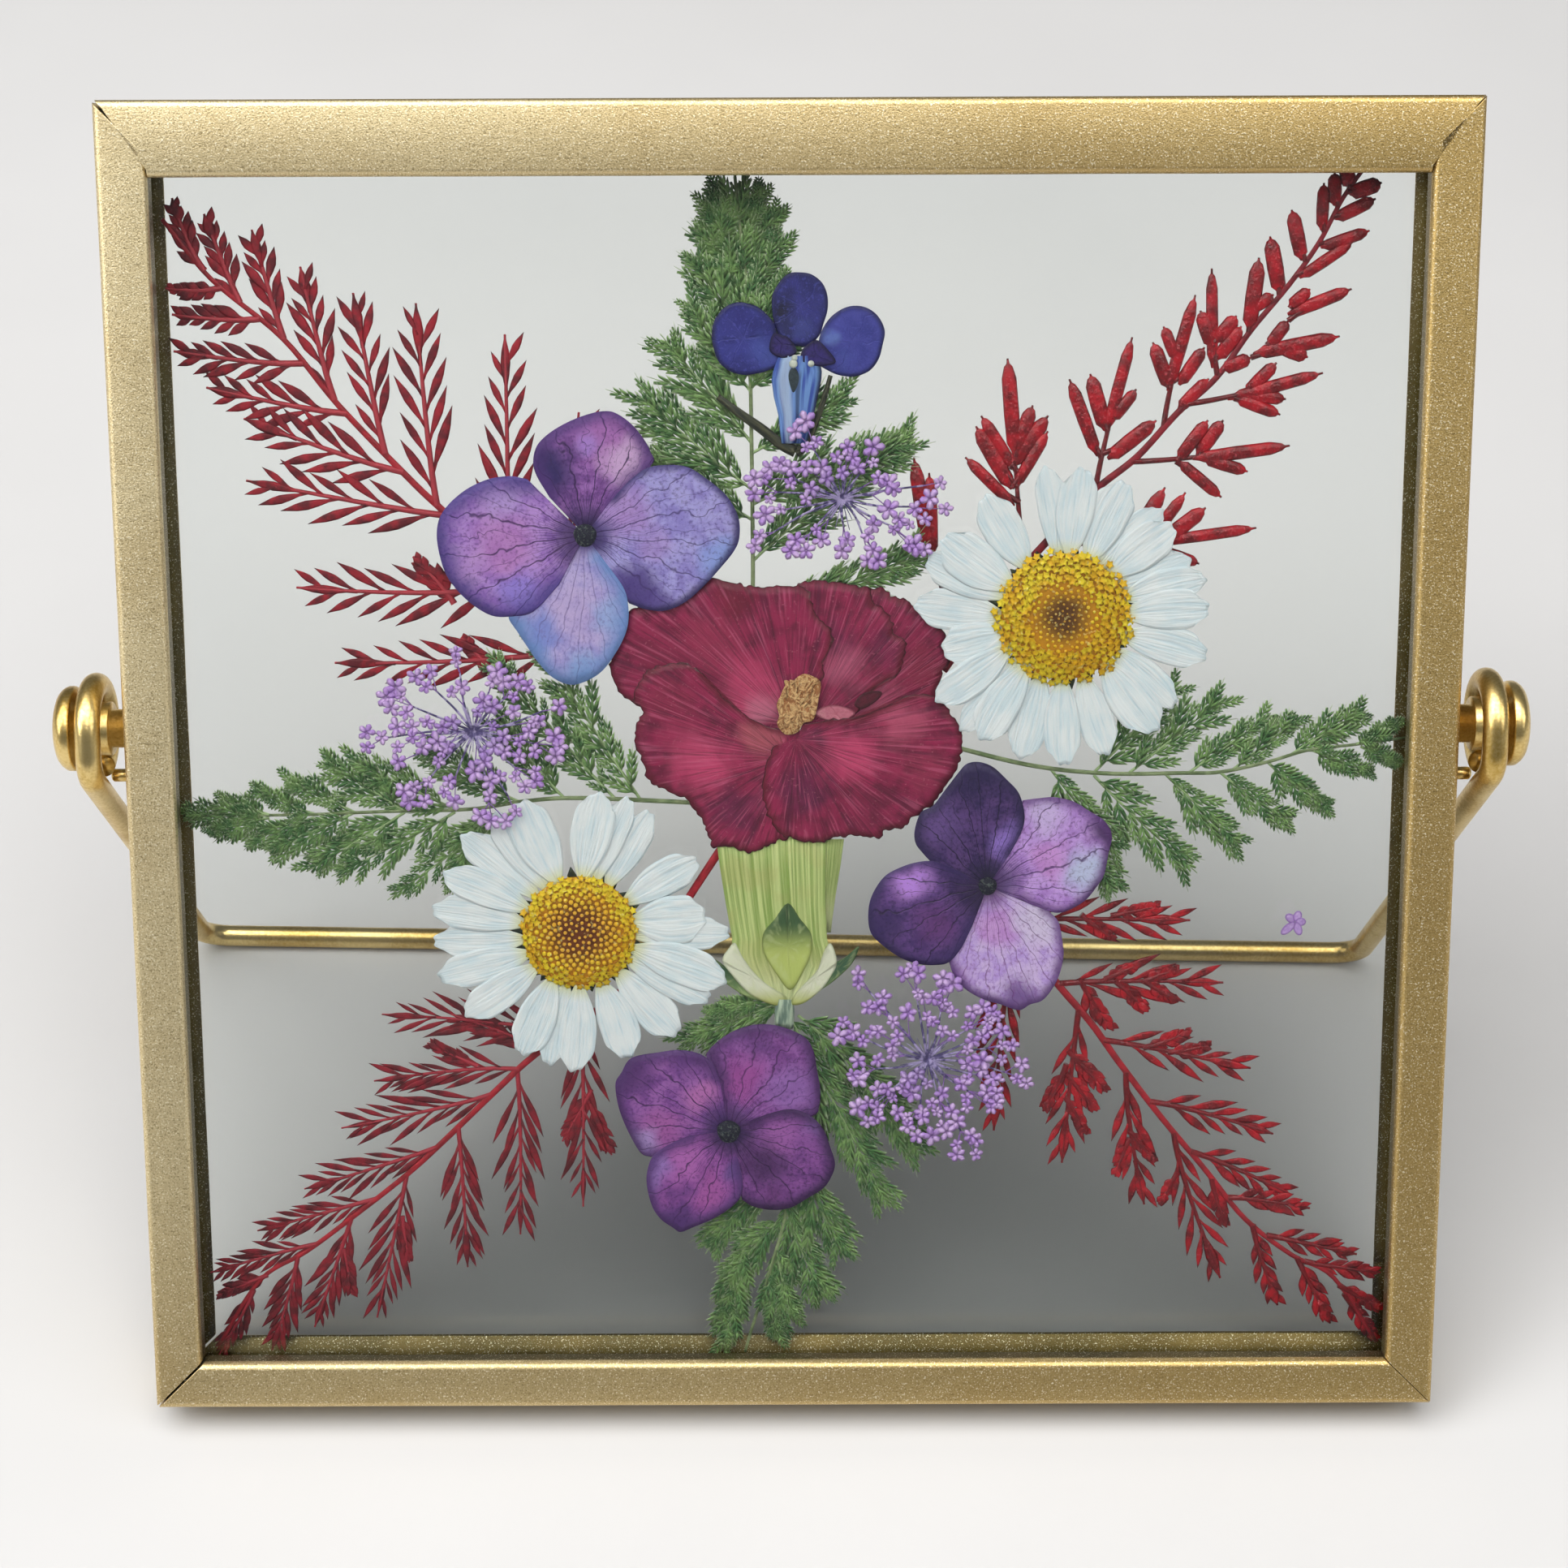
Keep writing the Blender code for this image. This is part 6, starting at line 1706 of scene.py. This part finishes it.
# %% Growing the lobelia
lobes = Piece()
for slot, (outline, depth) in enumerate(((TOP_LOBE, 5.2), (LEFT_LOBE, 5.11), (RIGHT_LOBE, 5.11))):
    closed_sheet(lobes, outline, depth, slot, 9)
for outline in (SMALL_LEFT_LOBE, SMALL_RIGHT_LOBE):
    closed_sheet(lobes, outline, 4.93, 3)
strip(lobes, LOBELIA_TUBE, 5.02, 4, 0.12, 25)
closed_sheet(lobes, THROAT, 4.86, 5)
blue = lobes.make("lobelia_sheets", [
    lobe_finish("top_lobe", (54, 52, 134), (38, 38, 108), [
        (-0.9, 45.4, 2.4, (18, 20, 52), 0.97), (0, 43.6, 1.5, (34, 36, 84), 0.8),
        # the last spot is a painted highlight: a small pale blue glint on the top lobe
        (1.6, 43.6, 1.6, (80, 92, 160), 0.5), (0.15, 46.1, 0.55, (150, 200, 240), 0.95)]),
    lobe_finish("left_lobe", (56, 58, 146), (42, 42, 122), [
        (-2.2, 41, 2.4, (78, 92, 176), 0.6), (-5.5, 44.5, 2.5, (48, 44, 128), 0.6)]),
    lobe_finish("right_lobe", (74, 76, 168), (56, 58, 144), [
        (3.8, 42.4, 1.4, (120, 146, 220), 0.6), (5, 39.8, 1.6, (70, 88, 160), 0.5)]),
    petal_finish("small_lobe", (58, 40, 122), (40, 24, 92), (26, 14, 62), 0.3, [], (30, 18, 70), 0.4, 3),
    finish("lobelia_tube", tube_finish),
    speckled("throat", 0.3, 2, None, (18, 24, 34), (70, 86, 92), 0.4, 0.2)], body=None, sheet=PETAL)
parts = Piece()
for x, height, radius in ((0.3, 40.15, 0.42), (0.42, 40.7, 0.3), (2, 40.15, 0.32)):
    rings = [(0, 0.16), (0.5, 0.14), (0.85, 0.08), (1, 0), (0, -0.05)]
    parts.grid([[(x + radius * out * math.cos(turn), height + radius * out * math.sin(turn), 4.86 - lift)
                 for turn in circle(16)] for out, lift in rings], ring=True)
for path, radii in (
        (places([-70, 370, -49, 354, -28, 339, -9, 324, 5, 317]), [0.3, 0.42, 0.5, 0.52, 0.6]),
        (places([39, 390, 32, 366, 24, 343, 15, 323, 5, 316]), [0.22, 0.26, 0.3, 0.36, 0.5])):
    line = smooth(path, 5)
    thick = [start + (end - start) * step / 5 for start, end in zip(radii, radii[1:])
             for step in range(5)] + radii[-1:]
    parts.tube([(place.x, place.y, 5.22) for place in line], thick, 10, slot=1, flat=0.35)
stalk = parts.make("lobelia_stalks", [
    speckled("pollen", 0.3, 2, None, (240, 238, 214), (190, 204, 196), 0.4, 0.2),
    striped("olive_stalk", 7, 3, (0.35, 0.65), (44, 48, 38), (86, 84, 60), 0.45, 0.2, 0.2)], body=None)
gather("blue_lobelia", [blue, stalk], "lobelia")

# %% [markdown]
# ## Umbels
#
# An umbel's rays all start at one point, and each ends in a small bunch of florets. The florets'
# places are measured; the bunches, the rays and the stalks follow from them. Each floret has five
# rounded petals. A tree sets one small floret on every stalk's end, turned, tilted and sized by
# chance, and sweeps the stalks.

# %% The tree of an umbel
umbels, size, maker = node_tree("umbels", [
    "Size", "Outer", "Tilt", "Uneven", "Stalk", "Seed", "Floret", "Finish"])
stems = maker.make("GeometryNodeMeshToCurve", {0: size["Start"]})
ring = maker.make("GeometryNodeCurvePrimitiveCircle", {0: 5, 4: MM})
width = size["Stalk"] * (1.0 - 0.4 * maker.make("GeometryNodeSplineParameter", output=0))
swept = maker.make("GeometryNodeCurveToMesh", {0: stems, 1: ring, 2: width, 3: True})
swept = store(swept, "rim", 0.0)
ends = maker.make("GeometryNodeCurveEndpointSelection", {0: 0, 1: 1})
lean = maker.vector(chance(-1, 1, 1) * size["Tilt"], chance(-1, 1, 2) * size["Tilt"],
                    chance(0, 6.28, 3))
longer = maker.make("GeometryNodeSplineLength", output=0).rise(0.6 * MM, 2.5 * MM)
scale = size["Size"] * (1.0 + chance(-1, 1, 4) * size["Uneven"]) * (1.0 + size["Outer"] * longer)
heads = planted(stems, size["Floret"], lean, scale, ends)
end_tree(umbels, maker.make("GeometryNodeJoinGeometry", {0: [heads, swept]}), size["Finish"])

# %% One floret of an umbel
floret = Piece()
for petal in range(5):
    turn = math.tau * petal / 5 + 0.12 * (petal % 2)
    reach = 1.0 + 0.12 * math.sin(petal * 2.3)
    path = [(reach * out * math.cos(turn), reach * out * math.sin(turn), lift)
            for out, lift in ((0.06, 0), (0.42, -0.05), (0.76, -0.06), (1, 0.02))]
    floret.tube(path, [0.12, 0.3, 0.37, 0.14], 4, flat=0.22)
floret = pattern_object("floret", floret)
print("the umbel tree has", len(umbels.nodes), "nodes")

# %% Umbel finishes
def floret_finish(centre, reach):
    """Lilac petals, violet at their bases and nearer the umbel's middle."""
    def vary(shade, place):
        _, along, rim = shade.marks()
        cloud = place.grain(1.1, 2)
        heart = place.near(*centre, reach, 4.1)
        colour = cloud.rise(0.38, 0.62).blend((236, 198, 252), (204, 156, 236))
        colour = layered(
            colour, (heart * 0.6, (160, 136, 204)),
            (along.fall(0, 0.3) * 0.75, (120, 76, 150)),
            (rim.fall(0, 0.6) * 0.3, (140, 96, 190)))
        return colour, 0.5 + cloud * 0.15, cloud, 0.06
    return finish("lilac_floret", vary)


umbel_ray = speckled("umbel_ray", 0.7, 2, (0.42, 0.58), (92, 80, 130), (180, 164, 210), 0.5, 0.1)

# %% A whole umbel
def bunches(florets, apart):
    """Florets put together with those already near them."""
    made = []
    for place in florets:
        near = [bunch for bunch in made if (sum(bunch, Vector((0, 0))) / len(bunch) - place).length < apart]
        if near:
            near[0].append(place)
        else:
            made.append([place])
    return made


RAY_DEPTH = 4.28
THIN_RAYS = 28


def umbel(name, node, centre, florets, seed):
    """An umbel from its florets' places round its centre."""
    dice = random.Random(seed)
    bm = bmesh.new()
    rays = Piece()
    for bunch in bunches([Vector(place) for place in florets], 2.3):
        middle = sum(bunch, Vector((0, 0))) / len(bunch)
        hub = middle * max(0.25, 1 - 1.7 / max(middle.length, 0.1))
        bend = Vector((-hub.y, hub.x)) * dice.uniform(-0.06, 0.06)
        path = smooth([Vector((0, 0)), hub * 0.5 + bend, hub], 4)
        rays.tube([(centre[0] + spot.x, centre[1] + spot.y, RAY_DEPTH) for spot in path],
                  [0.14 - 0.05 * step / (len(path) - 1) for step in range(len(path))], 6, flat=0.5)
        for place in bunch:
            low = dice.uniform(4.02, 4.2)
            knee = (hub + place) / 2 + bend * 0.3
            verts = [bm.verts.new(on_plate(centre[0] + spot.x, centre[1] + spot.y, depth))
                     for spot, depth in ((hub, RAY_DEPTH), (knee, 4.26), (place, low))]
            bm.edges.new(verts[:2])
            bm.edges.new(verts[1:])
    for step in circle(THIN_RAYS):
        turn = step + dice.uniform(-0.05, 0.05)
        reach = dice.uniform(1.8, 3.2)
        rays.tube([(centre[0] + out * math.cos(turn), centre[1] + out * math.sin(turn), depth)
                   for out, depth in ((0.1, 4.25), (reach * 0.6, 4.2), (reach, 4.18))],
                  [0.04, 0.055, 0.03], 5, flat=0.6)
    start = bpy.data.meshes.new("umbel_lines")
    bm.to_mesh(start)
    bm.free()
    heads = grown(umbels, start, {
        "Size": 0.68, "Outer": 0.3, "Tilt": 0.16, "Uneven": 0.25, "Stalk": 0.07, "Seed": seed,
        "Floret": floret, "Finish": floret_finish(centre, 4.5)})
    gather(name, [heads, rays.make(name + "_rays", [umbel_ray], body=None)], node)

# %% The umbels' florets
TOP_UMBEL = places([-7, 15, -9, 13, -7, 10, -5, 11, 1, 10, 6, 10, 6, 7, -14, 6, -12, 7, -10, 6, -17, 4,
    -15, 4, -10, 3, -17, 1, -14, 0, -12, -2, -15, -3, -16, -7, -17, -9, -9, -8, -10, -10, -7, -10, 0, -10,
    1, -8, 6, -10, 5, -12, 7, -12, 14, -9, 16, -10, 13, -9, 14, -2, 16, -4, 13, -5, 19, 3, 17, 0, 20, -2,
    10, 2, 9, -2, 10, -6, 6, -5, 5, -7, -5, -6, -7, 0, -7, 6, -4, 6, -1, 8, 2, 8, 3, 6, 7, 4, 9, 3, -3, 4,
    0, 5, 11, -4, -4, -8, -6, 2], parts=2)
LEFT_UMBEL = places([-3, 16, -3, 14, -11, 11, -8, 12, -9, 9, -15, 9, -17, 7, -14, 7, -16, 5, -13, 4, -15, 1,
    -12, 1, -21, 0, -21, -3, -18, -1, -15, -3, -15, -6, -12, -1, -10, -3, -14, -12, -13, -14, -12, -11,
    -10, -14, -9, -10, -5, -10, -4, -14, -6, -12, 1, -17, 3, -18, 6, -18, 8, -16, 3, -13, 3, -10, 0, -8,
    5, -9, 8, -9, 10, -11, 12, -10, 12, -8, 16, -1, 17, -3, 16, -5, 9, -2, 12, -4, 9, -5, 17, 5, 12, 2,
    13, 2, 11, 0, 11, 9, 9, 10, 8, 7, 8, 4, 5, 12, 4, 10, 6, 10, 2, 6, 4, 5, 1, 4, -4, 8, -2, 9, -6, 1,
    -9, 2, -4, 2, -7, -2, -7, -6, -6, -4, -5, -3, 4, 1, 6, -1, 4, -3, 6, -4, 2, -4, 2, -6], parts=2)
LOWER_RIGHT_UMBEL = places([-14, 18, -14, 16, -5, 18, -3, 19, -2, 18, 3, 17, 3, 15, 5, 16, -12, 11, -10, 11,
    -9, 13, -7, 8, -4, 10, -2, 14, -1, 13, 1, 13, -17, 8, -18, 5, -17, 5, -15, 6, -13, 4, -11, 6, -10, 6,
    9, 10, 11, 11, 12, 8, 13, 10, 14, 9, 15, 6, 15, 3, 17, 3, 15, 0, 19, -1, 18, -4, 20, -5, -14, 0,
    -15, -3, -13, -3, -14, -4, -10, -6, -8, -6, -7, -8, -12, -9, -14, -10, -10, -10, -12, -13, -10, -12,
    -6, -11, -4, -12, -4, -14, -1, -11, -1, -12, 1, -9, 2, -11, 3, -14, 4, -15, 5, -11, 6, -13, 8, -8,
    8, -10, 13, -4, 14, -4, 12, -7, 14, -7, 13, -10, 14, -9, 11, -2, 11, 0, 8, -1, 11, 5, 12, 6, 8, 7, 9, 4,
    8, 2, -2, -16, 1, -16, 9, -16, 10, -17, 6, -18, 6, -20, 10, -20, -10, 0, -7, 1, -7, 3, -6, 5, -4, -4,
    -2, -3, -5, -6, -3, -7, 0, -5, 3, -7, 7, -5, 8, -4, 0, 9, 1, 8, 3, 12, 4, 11, 5, 10, 3, 6, 5, 5], parts=2)

# %% Growing the umbels
umbel("top_lilac_umbel", "top_umbel", (5, 27.2), TOP_UMBEL, 61)
umbel("left_lilac_umbel", "left_umbel", (-31.3, 4.4), LEFT_UMBEL, 62)
umbel("lower_right_lilac_umbel", "lower_right_umbel", (13.6, -29.4), LOWER_RIGHT_UMBEL, 63)

# %% [markdown]
# A loose floret near the right edge has five rounded petals, one of them longer.

# %% The stray floret
petals = Piece()
for number, (turn, reach) in enumerate(((2.5, 0.6), (1.2, 0.6), (0, 0.55), (-1.2, 0.75), (-2.4, 0.95))):
    along, across = bearing(turn), Vector((-math.sin(turn), math.cos(turn)))
    middle = Vector((50.2, -15.2)) + along * reach
    closed_sheet(petals, [middle + along * math.cos(spot) * reach * 0.95 + across * math.sin(spot) * 0.42
                          for spot in circle(8)], 4.2 - 0.03 * number, 0, 4)
loose_skin = petal_finish("loose_lilac", (240, 212, 248), (210, 170, 236), (146, 98, 188), 0.14,
                          [(50.2, -15.2, 0.7, (130, 84, 160), 0.8)], (160, 112, 200), 0.4, veins=3)
loose = petals.make("loose_petals", [loose_skin], sheet=PETAL)
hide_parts("stray_floret")
for shape in (bud, frill, floret):
    bpy.data.objects.remove(shape)

# %% Finish
visual_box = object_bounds()
growth = (visual_box[1] - visual_box[0] - cad_box[1] + cad_box[0]) / MM
print("box grew by", [round(side, 2) for side in growth], "mm")
